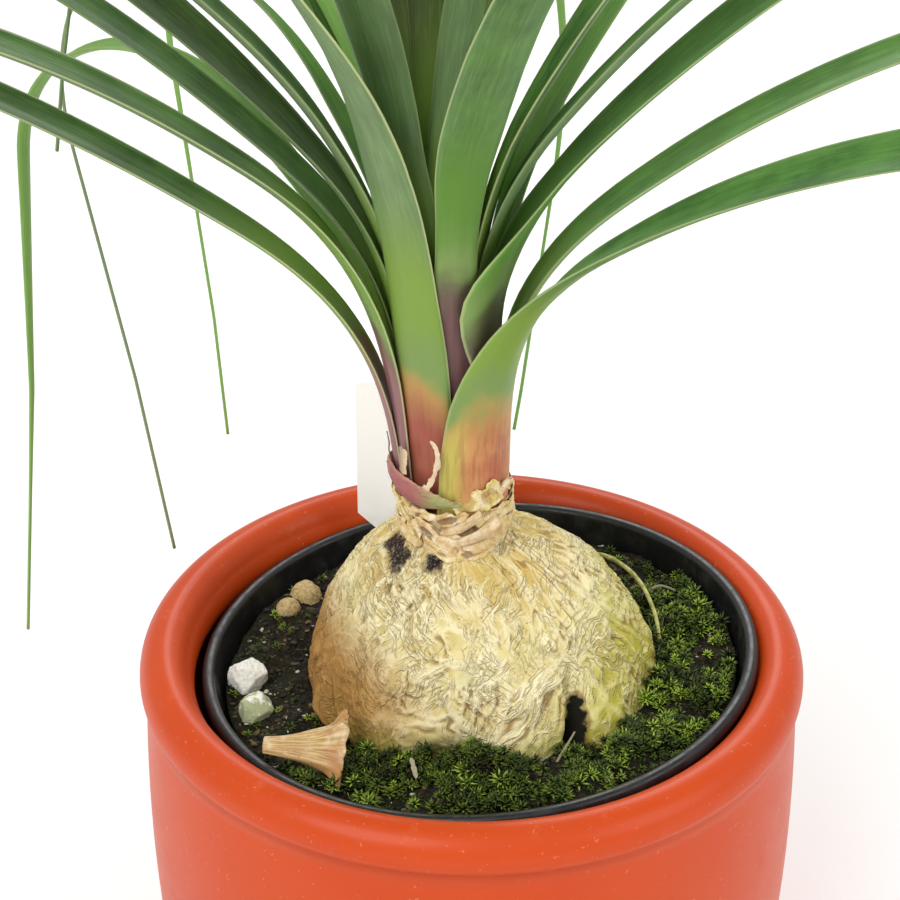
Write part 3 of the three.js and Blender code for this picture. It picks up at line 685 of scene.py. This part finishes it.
# Papery remains that still cling to the sheaths above the collar: the pale curled margin of the
# front one, a tab at the left, and thin dry points where the old leaves tore off
SCRAPS = [
    ([(-107, 28.4, 2.2), (-102, 27, 2.8), (-101, 24, 2.8), (-104, 21, 2.6),
      (-109, 18.4, 2.4), (-114, 16, 2)], 0.9, 1.3, 0.35),
    ([(-112, 17.4, 2.2), (-119, 15.8, 2), (-127, 15.2, 1.6)], 1.8, 0.8, 0.4),
    ([(-139, 24.4, 2.3), (-141, 21, 1.9), (-144, 17.6, 1.5)], 2.6, 1.8, 0),
    ([(-172, 14.5, 1.6), (-176, 18.4, 2), (-180, 23.6, 3.2)], 2.2, 0.3, 0),
    ([(-166, 13.6, 1.8), (-171, 15.4, 2.2), (-176, 17, 3.4)], 1.6, 0.3, 0),
    ([(-176, 9.6, 1.6), (-179, 11.6, 2.1), (-182, 13, 2.8)], 1.6, 0.4, 0.4),
]
parts = [ribbon(*scrap, seed=n + 40, crumple=0.25, steps=30) for n, scrap in enumerate(SCRAPS)]
points, faces, _ = gathered(parts)
paper = Finish("papery_scrap", Roughness=0.6, Specular_IOR_Level=0.3)
left = (-0.0135 - paper.at("X")).rises(0, 0.002)
paper.colour(
    (236, 220, 190),
    (paper.mottle(1.2, detail=4), (206, 176, 136)),
    (left * 0.7, (104, 74, 66)))
paper.relief(paper.mottle(0.4, detail=4), 0.1)
piece("papery_scraps", points, faces, paper, "dry_husk")

# Old leaf stub. The torn base of one older leaf, still rosy, that clasps the left of the stem
# above the dry collar and runs out into a green point at the front.

# Turn in degrees, and the heights of its lower and upper edge over the neck
STUB = [(-205, 13.5, 16.4), (-175, 13.4, 18.4), (-158, 12.8, 18.2), (-133, 11.6, 17.6),
        (-118, 11.6, 16.6), (-103, 12, 15.4), (-90, 12.6, 14.2), (-82, 13, 13.5)]
STUB_STEPS = 80
STUB_SIDES = 16
rosy = Finish("rosy_husk", Specular_IOR_Level=0.35, Roughness=0.5)
along, across, _ = rosy.kept("strip")
veins = rosy.mottle(0.5, detail=3, stretch=(3, 3, 0.6))
rosy.colour(
    (166, 100, 96),
    (along.rises(0.6, 0.86), (150, 158, 96)),
    (across.rises(-0.5, -1) * 0.6, (122, 128, 84)),
    (across.rises(0.7, 1) * 0.6, (206, 160, 128)),
    (veins.rises(0.4, 0.7) * 0.5, (132, 76, 84)))
rosy.relief(veins, 0.12)
rows, kept = [], []
for u in np.linspace(0, 1, STUB_STEPS + 1):
    angle = STUB[0][0] + (STUB[-1][0] - STUB[0][0]) * u
    low, high = between(STUB, angle)
    high += 0.7 * abs(wobble(u * 15, 0, 3)) * smooth(8 - 8 * u)
    turn = radians(angle)
    row = []
    for a in -around(STUB_SIDES):
        v = cos(a)
        z = (high + low) / 2 + (high - low) / 2 * v
        out = CROWN_R + 1.9 - 0.32 * sin(a) + 0.06 * max(0, z - 12) + 0.5 * (1 - v * v) \
            + 0.25 * wobble(u * 9, v * 2, 1)
        row.append(round_stem(turn, out, z))
        kept.append((u, v, 0))
    rows.append(row)
piece("old_leaf_stub_fine", *skin(closed(rows)), rosy, "rosy_husk", ["old_leaf_stub"],
      strip=[(0, 0, 0), *kept, (1, 0, 0)])

# Leaves. Thirty long straps, grown one inside the other from the stem. Each has a clasping, rosy
# sheath, a channelled blade with fine ribs and pale margins, and a thread-like tip.

# Angles are in degrees, and every distance runs along the leaf from the level of the neck.
# bearing: the way it points; up: where it is attached; wrap: half of the stem that its sheath holds;
# lean and open: its lean from upright inside the crown and once it has left it, between start and
# turn; droop: how much further it bends from there to end; tip: where the leaf ends; wide: the
# width of its blade; drift: how far the blade swings sideways; roll: its turn about itself.
Leaf = namedtuple("Leaf", "bearing up wrap lean open start turn droop end tip wide drift roll")
LEAVES = [
    (-30, 0.5, 44, 3.5, 53, 22, 86, 88, 380, 380, 12.5, 4, 26),
    (93, 0.5, 39, 3, 53, 18, 104, 105, 252, 334, 11, -1, -15),
    (181, 0.5, 26, 3, 55.5, 12, 88, 63, 362, 362, 10, -3, -12),
    (194, 5.5, 24, 4, 53, 26, 108, 84, 374, 374, 12.5, 6, -6),
    (76, 5, 27, 2, 46, 29, 102, 180, 235, 300, 8, 0, 4),
    (3, 5.5, 31, 2, 55, 20, 93, 89, 384, 384, 11.5, -3, 8),
    (170, 14, 24, 3.5, 49.5, 31, 97, 82, 399, 399, 10, -1, -6),
    (-1, 15, 31, 1.5, 40.5, 42, 85, 72, 391, 391, 12, 2, 20),
    (122, 15.5, 24, 7, 38.5, 29, 102, 150, 232, 328, 9, -1, 0),
    (-121, 9, 35, 3, 36, 30, 148, 97, 400, 400, 14.5, -30, -44),
    (149, 11, 24, 6, 47.5, 13, 93, 125, 178, 313, 9, 0, -2),
    (32, 10.5, 37, 3.5, 40, 33, 116, 110, 222, 341, 9, -1, 0),
    (-77, 17.5, 34, 5, 33.5, 39, 115, 57, 360, 360, 13.5, 32, -2),
    (95, 20, 35, 7, 30.5, 40, 117, 120, 272, 312, 10, 0, 8),
    (-8, 20.5, 32, 0.5, 38.5, 39, 105, 88, 397, 397, 11, -5, -8),
    (182, 20.5, 36, 6, 41.5, 42, 103, 82, 420, 420, 13.5, -2, -25),
    (85, 28.5, 32, 3.5, 29.5, 40, 120, 100, 340, 340, 11, 0, 12),
    (140, 24, 24, 3, 39.5, 34, 97, 154, 227, 329, 8, -3, 1),
    (-1, 30, 36, 2.5, 30.5, 40, 114, 90, 425, 425, 13, -2, 11),
    (190, 25.5, 25, 5, 45.5, 33, 139, 90, 412, 412, 12, -1, 1),
    (74, 25, 35, 4.5, 33, 42, 118, 75, 344, 344, 11, 0, 10),
    (160, 29, 31, 5, 28, 46, 115, 139, 191, 230, 8, -9, -6),
    (35, 36.5, 33, 3, 32.5, 46, 138, 110, 418, 418, 12, 0, 23),
    (-121, 34.5, 44, 7, 26.5, 50, 142, 100, 392, 392, 12, 0, 31),
    (122, 35.5, 39, 4.5, 34, 66, 134, 81, 434, 434, 13.5, 0, -1),
    (56, 40.5, 46, 2, 34, 63, 139, 80, 434, 434, 13.5, 0, 10),
    (-59, 40.5, 46, 1, 21.5, 52, 154, 90, 414, 414, 12, 0, 47),
    (-164, 37.5, 24, 6.5, 22.5, 54, 156, 100, 416, 416, 12, 0, -3),
    (164, 41, 51, 3.5, 20, 58, 150, 90, 390, 390, 11, 0, 2),
    (103, 47, 52, 1, 16.5, 59, 160, 60, 374, 374, 11, -3, 3),
]
LEAF_T = 0.65
BLADE_HALF = radians(28)
LEAN_TOP = 90
LEAF_STEPS = 110
ACROSS = 14
# How each leaf is coloured: how far its rosy base reaches, how purple that is, how grey the back
# is, how pale the margins are, and how much painted shade darkens the blade, where below 0 it is
# painted light that brightens it; LOOK is for the leaves not named here
LOOK = (14, 0.7, 0.35, 0.3, 0.25)
LOOKS = {1: (31, 0, 0.2, 0.5, 0), 3: (44, 0.8, 0.5, 0.8, 0.3), 4: (42, 0.9, 0.3, 0.8, 0.3),
         6: (24, 0.5, 0.5, 0.5, -0.2), 8: (40, 1.6, 0.2, 0.6, -0.1), 10: (29, 0.3, 0.55, 1, 0),
         13: (46, 1.4, 0.15, 0.8, 0.05), 15: (14, 0.7, 0.6, 0.3, 0.1),
         16: (14, 0.8, 0.4, 0.2, 0.5), 19: (14, 0.7, 0.3, 0.8, 0.15), 20: (20, 0.8, 0.8, 0.3, 0.3),
         25: (30, 0.5, 0.1, 0.5, 0.8), 26: (30, 0.5, 0.1, 0.9, 0.7), 30: (20, 0.5, 0.1, 0.3, 0.8),
         11: (12, 0.5, 0, 0.3, -0.7), 18: (12, 0.5, 1, 0.3, -0.3), 9: (12, 0.5, 0, 0.2, -0.9),
         5: (12, 0.5, 0, 0.2, -0.8), 12: (12, 0.5, 0.2, 0.2, -0.5)}
# Sheaths that lap over their neighbour on the left side: how many degrees, how far along the leaf
# the lap is full, where it starts and ends to run out, and how far it bulges
LAP = {1: (37, 3, 30, 80, 0.6), 8: (50, 50, 40, 74, 4.6)}
BULGE_GROWN = 26
# How much of its width is left where a leaf hangs as a thread
SLIM = {5: 0.6, 9: 0.5, 11: 0.9, 12: 0.6, 18: 0.16, 22: 0.4}
# How much narrower a leaf is where it leaves the crown, where it isn't 0.16
WAIST = {13: 0.36}


def leaf_rows(number, leaf):
    """Loops of a leaf's points along it, and for each point its along, across and face."""
    foot = CROWN_R - CROWN_TAPER * leaf.up
    wrap = radians(leaf.wrap)
    lap, lap_grown, lap_from, lap_to, bulge = LAP.get(number, (0, 1, 0, 1, 0))
    slim = SLIM.get(number, 1)
    bearing = radians(leaf.bearing)
    long = leaf.tip - leaf.up
    centre = np.array((foot, 0, leaf.up), float)
    before = None
    rows, kept = [], []
    for i in range(LEAF_STEPS + 1):
        s = long * i / LEAF_STEPS
        past = s + leaf.up
        opening = smooth((past - leaf.start) / (leaf.turn - leaf.start))
        drooping = min(1, max(0, (past - leaf.turn) / (leaf.end - leaf.turn))) ** 1.1
        tilt = radians(leaf.lean + (leaf.open - leaf.lean) * opening + leaf.droop * drooping)
        swing = radians(leaf.drift * smooth(1.4 * s / long - 0.1))
        roll = radians(leaf.roll * smooth((s - 40) / 130))
        along = np.array((sin(tilt) * cos(swing), sin(tilt) * sin(swing), cos(tilt)))
        side = np.array((-sin(swing), cos(swing), 0))
        up = np.array((-cos(tilt) * cos(swing), -cos(tilt) * sin(swing), sin(tilt)))
        if before is not None:
            centre = centre + (before + along) * long / LEAF_STEPS / 2
        before = along
        across = side * cos(roll) + up * sin(roll)
        inward = up * cos(roll) - side * sin(roll)
        u = s / long
        blend = smooth(s / 48)
        waist = 1 - WAIST.get(number, 0.16) * exp(-(((s - 55) / 22) ** 2))
        taper = (1 - u ** 2.6) ** 0.9 * (1 - 0.35 * smooth((u - 0.45) / 0.55))
        hang = 1
        if slim < 1:
            hang -= (1 - slim) * smooth((past - leaf.turn + 40) / 80)
            hang *= 1 - 0.9 * max(0, past - leaf.turn) / (leaf.tip - leaf.turn)
        wide = 2 * foot * wrap * (1 - blend) + leaf.wide * waist * taper * hang * blend
        wide = max(wide * (1 + 0.02 * wobble(s / 9, number)), 0.5)
        bend = smooth(s / 60)
        half = wrap * (1 - bend) + BLADE_HALF * bend
        curl = wide / (2 * half)
        middle = centre + inward * curl
        lap_lost = smooth((s - lap_from) / (lap_to - lap_from))
        lapped = smooth(s / lap_grown) - lap_lost
        row = []
        for j in range(2 * ACROSS + 2):
            outer = j <= ACROSS
            v = 2 * (j if outer else 2 * ACROSS + 1 - j) / ACROSS - 1
            pleat = blend * (0.22 * (1 - abs(v)) ** 1.4 + 0.05 * cos(9.4 * v))
            thick = LEAF_T * (1 - 0.55 * v ** 4) if outer else 0
            reach = curl + thick + pleat * min(1, wide / 6)
            left = (1 - v) / 2
            reach += bulge * left * (1 - lap_lost) * smooth(s / BULGE_GROWN)
            a = half * v - radians(lap) * left * lapped
            point = middle + across * reach * sin(a) - inward * reach * cos(a)
            x, y = (point[0] * cos(bearing) - point[1] * sin(bearing),
                    point[0] * sin(bearing) + point[1] * cos(bearing))
            x -= STEM_LEAN * min(LEAN_TOP, max(0, point[2]))
            row.append((NECK_X + x, y, NECK_Z + point[2]))
            kept.append((s, v, float(outer)))
        rows.append(row)
    return closed(rows), [(0, 0, 1), *kept, (long, 0, 1)]


blade = Finish("leaf_skin", Specular_IOR_Level=0.3)
along, across, outer = blade.kept("leaf")
rosy_to, purple, own = blade.kept("tone")
grey, pale, painted_shade = blade.kept("cast")
lines = blade.add("CombineXYZ", {}, {0: across * 0.0055, 1: along * 0.00005, 2: own})
ribs = blade.mottle(0.5, detail=2, rough=0.6, place=lines)
broad = blade.mottle(2.6, detail=1, place=lines)
cloud = blade.mottle(11, detail=4)
edge = abs(across)
past = along + 9 * (cloud - 0.5) + 5 * (broad - 0.5) + 8 * edge ** 3 - rosy_to
hazy = past + 8 * (cloud - 0.5)
first = blade.coats((184, 150, 82), (purple.rises(0.5, 1), (90, 92, 64)))
lively = blade.coats((122, 152, 62), (purple.rises(0.6, 1.3), (92, 136, 52)))
fresh = blade.coats(first, (hazy.rises(0, 9), (120, 146, 80)), (hazy.rises(8, 20), lively))
green = blade.coats(
    (54, 98, 40),
    (cloud.rises(0.3, 0.7), (84, 132, 56)),
    (broad.rises(0.45, 0.6) * 0.3, (106, 150, 76)),
    # Painted shade darkens each blade by its own amount; below 0 it is painted light that pales it
    (painted_shade * (1.05 - 0.3 * broad), (68, 62, 34)),
    (-0.9 * painted_shade, (140, 186, 92)),
    (outer * grey, (132, 148, 110)),
    (ribs.rises(0.45, 0.66) * 0.14, (44, 80, 36)),
    (ribs.rises(0.5, 0.34) * 0.12, (150, 184, 120)))
green = blade.coats(fresh, ((past - 24).rises(0, 30), green))
warm = blade.coats(
    (202, 146, 92),
    (cloud.rises(0.35, 0.65), (180, 102, 72)),
    (broad.rises(0.4, 0.6) * 0.25, (200, 150, 92)),
    (purple.rises(0, 0.4), (154, 76, 66)))
cool = blade.coats(
    (158, 118, 118),
    (broad.rises(0.35, 0.65), (130, 94, 98)),
    ((purple - 1).rises(0, 0.8), (74, 58, 54)))
strip = (0 - across).rises(0.42, 0.85) * (1 - 4 * purple).rises(0, 1) * 0.85
blush = blade.coats(
    warm,
    (purple.rises(0.3, 1), cool),
    (strip, (186, 184, 86)),
    (ribs.rises(0.45, 0.62) * 0.3, (122, 74, 62)))
blade.colour(
    blush,
    ((past + 4 * (broad - 0.5)).rises(-8, 7), green),
    (edge.rises(0.93, 0.99) * pale * 0.8, (196, 204, 146)))
blade.roughness(0.4 + 0.12 * ribs)
blade.relief(ribs, 0.06)
for number, leaf in enumerate(LEAVES, 1):
    rows, kept = leaf_rows(number, Leaf(*leaf))
    rosy_to, purple, *cast = LOOKS.get(number, LOOK)
    name = f"leaf_{number:02d}"
    piece(name + "_fine", *skin(rows), blade, "leaf", [name], leaf=kept,
          tone=[(rosy_to, purple, number * 0.013)] * len(kept), cast=[cast] * len(kept))

# Plant label. A blank plate of thin white plastic with a pointed foot, pushed into the soil
# behind the trunk. It glows a little: painted light, which keeps it white in the trunk's shade.
# It keeps its modelled shape.
plate = Finish("white_plastic", Roughness=0.35, Emission_Strength=0.14)
# Grey-green blotches, more of them towards the foot
blotches = plate.mottle(6, detail=4).rises(0.3, 0.8)
low = (0.128 - plate.at("Z")).rises(0, 0.03)
plate.colour((250, 250, 249), (low * blotches, (214, 218, 202)))
plate.relief(plate.mottle(1.5), 0.01)
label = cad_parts["plant_label"]
label.data.materials.clear()
label.data.materials.append(plate.material)

# Stones. Two expanded-clay balls at the left back, and a white and a mossy stone of pumice at the
# left. They were laid on the soil and have settled a little into it.
clay = Finish("baked_clay", Roughness=0.85)
pores = clay.mottle(0.7, detail=5, rough=0.7)
clay.colour((206, 180, 126), (pores.rises(0.4, 0.7), (146, 120, 80)))
clay.relief(pores, 0.25)
pumice = Finish("pumice", Roughness=0.9)
pores = pumice.mottle(0.8, detail=5, rough=0.75)
algae = (pumice.mottle(2.2) - 30 * pumice.at("Y")).rises(0.8, 0.92)
pumice.colour(
    (244, 242, 232),
    (pores.rises(0.55, 0.7), (178, 172, 148)),
    (algae * 0.75, (150, 162, 88)))
pumice.relief(pores, 0.4)
STONE_RINGS = 48
STONE_SIDES = 80


def stone(name, middle, size, lumpy, phase, finish, slot, cuts=0):
    """A stone: a ball pushed in and out, and with that many flats broken off it."""
    random.seed(int(10 * phase))
    flats = []
    for _ in range(cuts):
        way = Vector([random.gauss(0, 1) for _ in range(3)]).normalized()
        flats.append((way, random.uniform(0.74, 0.96)))
    rows = []
    for i in range(STONE_RINGS + 1):
        rise = pi * (i / STONE_RINGS - 0.5)
        row = []
        for turn in around(STONE_SIDES if 0 < i < STONE_RINGS else 1):
            way = heading(turn, rise)
            bump = sin(3.1 * way.x + phase) * cos(2.7 * way.y - phase) \
                + 0.6 * sin(4.3 * way.z + 2 * phase)
            reach = 1 + lumpy * bump
            for flat, far in flats:
                reach = min(reach, far / max(0.2, way.dot(flat)))
            pitted = 0.05 * noise(way * 3 + Vector((phase, 0, 0))) \
                + lumpy * (0.5 * noise(way * 7) - 0.5 * abs(noise(way * 15)))
            row.append(tuple(Vector(middle) + way * (size * reach * (1 + pitted))))
        rows.append(row)
    piece(name + "_fine", *skin(rows), finish, slot, [name])


stone("clay_ball_1", (-42.4, 24.8, 99), 2.8, 0.05, 0.4, clay, "clay")
stone("clay_ball_2", (-38.8, 31.4, 97.8), 3.9, 0.05, 1.9, clay, "clay")
stone("pumice_1", (-49.8, -2, 98.6), 4.5, 0.1, 2.6, pumice, "pumice", cuts=13)
stone("pumice_2", (-47, -14, 98.6), 4.1, 0.09, 4.1, pumice, "pumice", cuts=9)

# Wiry root. An old root that left the trunk, arches over the soil at its right and goes back
# into it; thin, tough, and green where the light reaches it.
KNOTS = 0.12
ROOT = [(26, 43, -16), (28, 42, -7), (33, 37, -4.5), (38.2, 28, -4), (41, 16, -3.8),
        (41.9, 6, -5), (42.3, 1, -13)]


def cane(points, thick, steps, sides=10):
    """Rows of a thin round stem along a curve, closed at both ends."""
    rows = []
    for i in range(steps + 1):
        u = i / steps
        here = along_curve(points, u)
        ahead = along_curve(points, min(1, u + 0.01)) - along_curve(points, max(0, u - 0.01))
        ahead = Vector(ahead).normalized()
        side = ahead.cross(Vector((0.3, 0.2, 0.93))).normalized()
        over = side.cross(ahead)
        r = thick(u) * (1 + KNOTS * wobble(u * 14, 5, 1))
        rows.append([tuple(Vector(here) + side * (r * cos(a)) + over * (r * sin(a)))
                     for a in -around(sides)])
    return closed(rows)


wiry = Finish("wiry_root", Roughness=0.6)
worn = wiry.mottle(1.6, detail=4)
wiry.colour((196, 186, 122), (worn.rises(0.4, 0.65), (140, 150, 62)))
wiry.relief(wiry.mottle(0.4), 0.06)
root_path = [(x, y, POT_H + z) for x, y, z in ROOT]
piece("wiry_root_fine", *skin(cane(root_path, lambda u: 0.62 - 0.2 * u, 90)), wiry, "root",
      ["wiry_root"])

# Fallen leaf base. A dry fan-shaped sheath of an old leaf, pleated along its veins and torn along
# its wide end, lying on the soil against the rim at the left front.
FAN_LONG = 17.5
FAN_TURN = [radians(a) for a in (34, -4, -4)]
FAN_STEPS = 50
FAN_ACROSS = 33


def fan_place(point):
    """From the fan's own frame to where it lies: turned about Z, then Y, then X, and moved."""
    return Euler(FAN_TURN, "ZYX").to_matrix() @ Vector(point) + Vector((-34.4, -38, POT_H - 3))


rows, kept = [], []
for u in np.linspace(0, 1, FAN_STEPS + 1):
    wide = 3.4 + 5.5 * u + 8.5 * u ** 3
    half = radians(62 - 12 * u)
    curl = wide / (2 * half)
    row = []
    for j in range(2 * FAN_ACROSS):
        outer = j < FAN_ACROSS
        v = 2 * (j if outer else 2 * FAN_ACROSS - 1 - j) / (FAN_ACROSS - 1) - 1
        torn = (1.4 * wobble(v * 4, 3) - 1.2 * v * v) * smooth(5 * u - 4)
        pleat = 0.1 * sin(34 * v + 3 * u) * u + 0.8 * wobble(u * 2.6, v * 2, 1)
        pleat += 1.3 * smooth(4 * abs(v) - 3) * smooth(5 * u - 3.6)
        reach = curl + pleat + (0.55 if outer else 0)
        a = half * v
        point = (FAN_LONG * (u - 0.5) + torn, -reach * sin(a), 1.2 * u * u - curl + reach * cos(a))
        row.append(fan_place(point))
        kept.append((u, v, float(outer)))
    rows.append(row)
dry = Finish("dry_leaf_base", Roughness=0.65)
u_at, v_at, _ = dry.kept("strip")
lines = dry.add("CombineXYZ", {}, {0: v_at * 0.006, 1: u_at * 0.001})
veins = dry.mottle(0.5, detail=3, place=lines)
browned = u_at.rises(0.55, 1) * dry.mottle(3).rises(0.35, 0.6)
dry.colour(
    (210, 184, 128),
    (veins.rises(0.35, 0.65), (160, 120, 70)),
    (dry.mottle(5, detail=3).rises(0.5, 0.7) * 0.6, (238, 220, 184)),
    (browned * 0.8, (172, 116, 58)),
    (dry.mottle(0.8, detail=1).rises(0.72, 0.8) * 0.7, (110, 72, 40)))
dry.relief(veins, 0.1)
piece("dry_leaf_base_fine", *skin(closed(rows)), dry, "dry_husk", ["dry_leaf_base"],
      strip=[(0, 0, 0), *kept, (1, 0, 0)])

# Moss and litter. Cushions of star moss have grown over the soil, thickest at the front and the
# right; crumbs of bark, twigs and a dry flake lie between them.
STARS = 1300
STAR_LEAVES = 13
SPRIG_FACES = [(0, 1, 2), (0, 2, 3), (0, 3, 1), (4, 2, 1), (4, 3, 2), (4, 1, 3)]
CRUMBS = 2600
CRUMB_SIDES = 6
CRUMB_RINGS = 4
TRUNK_X = -0.3
TRUNK_WIDEST = 38.6
TRUNK_AT_SOIL = -8
LITTER_FROM = 30
LITTER_TO = 55.6


def soil_left(x, y):
    """How far a place on the soil is clear of the trunk, in millimetres."""
    x -= TRUNK_X
    return hypot(x, y) - (TRUNK_WIDEST + swell(atan2(y, x), TRUNK_AT_SOIL))


def mossy(x, y):
    """How thick the moss grows at a place, from 0 to 1."""
    front = smooth((24 - y + 0.9 * x) / 44)
    left = smooth((-x - 22) / 14) * smooth((y + 42) / 10)
    drifts = smooth(0.62 + 1.5 * wobble(x * 0.11, y * 0.11, 4))
    return min(1, (0.1 + 0.9 * front) * (1 - 0.7 * left) * (0.2 + 0.8 * drifts))


def litter_spot():
    """A random place on the soil between the trunk and the nursery pot's wall."""
    while True:
        turn = random.uniform(-pi, pi)
        r = sqrt(random.uniform(LITTER_FROM ** 2, LITTER_TO ** 2))
        x, y = r * cos(turn), r * sin(turn)
        if soil_left(x, y) > 0.2:
            return x, y


random.seed(23)
moss = Finish("star_moss", Roughness=0.6, Specular_IOR_Level=0.25)
fresh, high, own = moss.kept("moss")
moss.colour(
    (22, 34, 11),
    (fresh, (124, 160, 34)),
    # Paler tips: partly young growth, partly a painted highlight
    (high.rises(0.3, 1) * fresh * 0.85, (200, 220, 92)),
    # Painted shade down at the base of each sprig
    (high.rises(0.6, 0), (8, 12, 6)),
    (own, (52, 42, 20)))
points, faces, kept = [], [], []
placed = 0
while placed < STARS:
    x, y = litter_spot()
    thick = mossy(x, y)
    if random.random() > thick + 0.03:
        continue
    placed += 1
    size = random.uniform(1.4, 3) * (0.6 + 0.4 * thick)
    close = 1.6 * smooth((9 - soil_left(x, y)) / 8) * smooth((-30 - y) / 8)
    close += 1.6 * hump(atan2(y, x - 2.4), LEFT_CLEFT, 0.2) * smooth((6 - soil_left(x, y)) / 4)
    base = Vector(soil_point(x, y, thick * (random.uniform(0.2, 2.6) + close)))
    lean = Vector((random.uniform(-0.5, 0.5), random.uniform(-0.6, 0.3), 1)).normalized()
    # Patches of painted light, in which more of the stars get a bright, fresh green
    lit = smooth(0.35 + 1.8 * wobble(x * 0.16, y * 0.16, 9))
    fresh_and_lit_here = random.random() if random.random() < 0.12 + 0.55 * lit else 0.25 * random.random()
    brown_here = float(random.random() < 0.07)
    for n in range(STAR_LEAVES):
        a = n * 2.4 + random.uniform(-0.2, 0.2)
        rise = 0.05 + 1.1 * n / STAR_LEAVES
        out = (heading(a, rise) + (lean - Vector((0, 0, 1)))).normalized()
        side = out.cross(Vector((0, 0, 1))).normalized() * 0.3
        thin = side.cross(out).normalized() * 0.09
        first = len(points)
        waist = base + out * size * 0.45
        points += [tuple(base), tuple(waist + side), tuple(waist + thin), tuple(waist - side),
                   tuple(base + out * size - Vector((0, 0, 0.1 * size)))]
        faces += [[first + k for k in face] for face in SPRIG_FACES]
        kept += [(fresh_and_lit_here, h, brown_here * 0.8) for h in (0, 0.5, 0.5, 0.5, 1)]
piece("star_moss", points, faces, moss, "soil", moss=kept)

litter = Finish("soil_litter", Roughness=0.85)
shade, high, _ = litter.kept("litter")
litter.colour((20, 18, 11), (shade, (116, 100, 60)), (high, (206, 202, 184)))
litter.relief(litter.mottle(0.4, detail=4), 0.15)
parts = []
for _ in range(CRUMBS):
    x, y = litter_spot()
    size = random.uniform(0.2, 0.6) * (1 + (random.random() < 0.04))
    base = Vector(soil_point(x, y, 0.2 * size))
    stretch = Vector((random.uniform(0.4, 2), random.uniform(0.4, 1.6), random.uniform(0.3, 0.8)))
    tone = (random.random() ** 3, float(random.random() < 0.05) * 0.8, 0)
    rows = []
    for i in range(CRUMB_RINGS + 1):
        rise = pi * (i / CRUMB_RINGS - 0.5)
        turns = around(CRUMB_SIDES if 0 < i < CRUMB_RINGS else 1) + 0.4 * i
        rows.append([base + stretch * heading(turn, rise) * (size * random.uniform(0.55, 1.3))
                     for turn in turns])
    parts.append((rows, tone))
# Twigs and bits of root: where each lies, with heights over the lip, and how thick it is
TWIGS = [([(19.9, -44.6, -5.2), (19.4, -48, -6.6), (18.2, -52, -6.2)], 0.45),
         ([(11.4, -42.6, -7.2), (13.6, -40.6, -5.4), (16.6, -38.4, -4.6)], 0.4),
         ([(17.4, -39.6, -6.4), (19.4, -37.8, -3.6), (21.6, -35.4, -0.8)], 0.4),
         ([(-41.8, 11.4, -13), (-39.4, 13.6, -12.6), (-36.9, 16.4, -12.4)], 0.45),
         ([(23.4, 21, 5.4), (27, 23, 3.6), (31.4, 24, -0.6), (32.6, 21, -6.6)], 0.5),
         ([(38, 22, -5.6), (43, 26, -4.8), (47, 25, -5.4)], 0.45)]
for path, thick in TWIGS:
    lifted = [(x, y, POT_H + z) for x, y, z in path]
    parts.append((cane(lifted, lambda u: thick * (1 - 0.5 * u), 24, sides=6), (1, 0.25, 0)))
# A pale, dry flake of leaf at the front
rows = []
for u in np.linspace(0, 1, 13):
    half = 0.6 * sin(pi * (0.08 + 0.84 * u)) ** 0.8 * (1 + 0.5 * wobble(4 * u))
    middle = Vector((-12.3 + 1.2 * u, -40.4 - 4.8 * u, POT_H - 4.4 - 1.6 * u))
    rows.append([middle + Vector((half * cos(a), 0, 0.3 * sin(a) + 0.5 * cos(a) ** 2))
                 for a in -around(8)])
parts.append(([rows[0][:1], *rows, rows[-1][:1]], (1, 0.4, 0)))
points, faces, kept = gathered(parts)
piece("soil_litter", points, faces, litter, "soil", litter=kept)

# Studio. A plain pale sweep, a large soft light from the upper left, a fill from the right and
# one behind, and the camera that looks down on the trunk.
world = bpy.data.worlds.new("studio")
bpy.context.scene.world = world
bpy.context.scene.view_settings.view_transform = "Standard"
world.use_nodes = True
glow = world.node_tree.nodes["Background"].inputs
glow["Color"].default_value = (1, 1, 1, 1)
glow["Strength"].default_value = 0.66
card = Finish("pale_card", Roughness=0.9)
card.colour((250, 250, 249), (card.mottle(300), (246, 246, 245)))
floor_mesh = bpy.data.meshes.new("floor")
corners = [(-3, -2), (3, -2), (3, 4), (-3, 4)]
floor_mesh.from_pydata([(x, y, 0) for x, y in corners], [], [(0, 1, 2, 3)])
floor_mesh.materials.append(card.material)
floor = added("floor", floor_mesh)


def aimed(name, data, place, target):
    """A lamp or the camera at a place, turned to look at the target."""
    made = added(name, data)
    made.location = place
    made.rotation_euler = (Vector(target) - Vector(place)).to_track_quat("-Z", "Y").to_euler()
    return made


for name, place, target, size, power in [
        ("soft_left", (-0.55, -0.75, 1.05), (0, 0, 0.12), 0.9, 10),
        ("fill_right", (0.9, -0.5, 0.7), (0, 0, 0.12), 0.8, 4),
        ("back", (0.1, 1, 1), (0, 0, 0.2), 0.8, 7)]:
    light = bpy.data.lights.new(name, "AREA")
    light.shape, light.size, light.energy = "DISK", size, power
    aimed(name, light, place, target)
LOOK_DOWN = radians(34.3)
CAMERA_AWAY = 0.53
lens = bpy.data.cameras.new("camera")
lens.sensor_width = 36
lens.lens = 96
lip = POT_H * MM
place = (0, -cos(LOOK_DOWN) * CAMERA_AWAY, sin(LOOK_DOWN) * CAMERA_AWAY + lip)
bpy.context.scene.camera = aimed("camera", lens, place, (-0.0047, 0, lip + 0.0461))
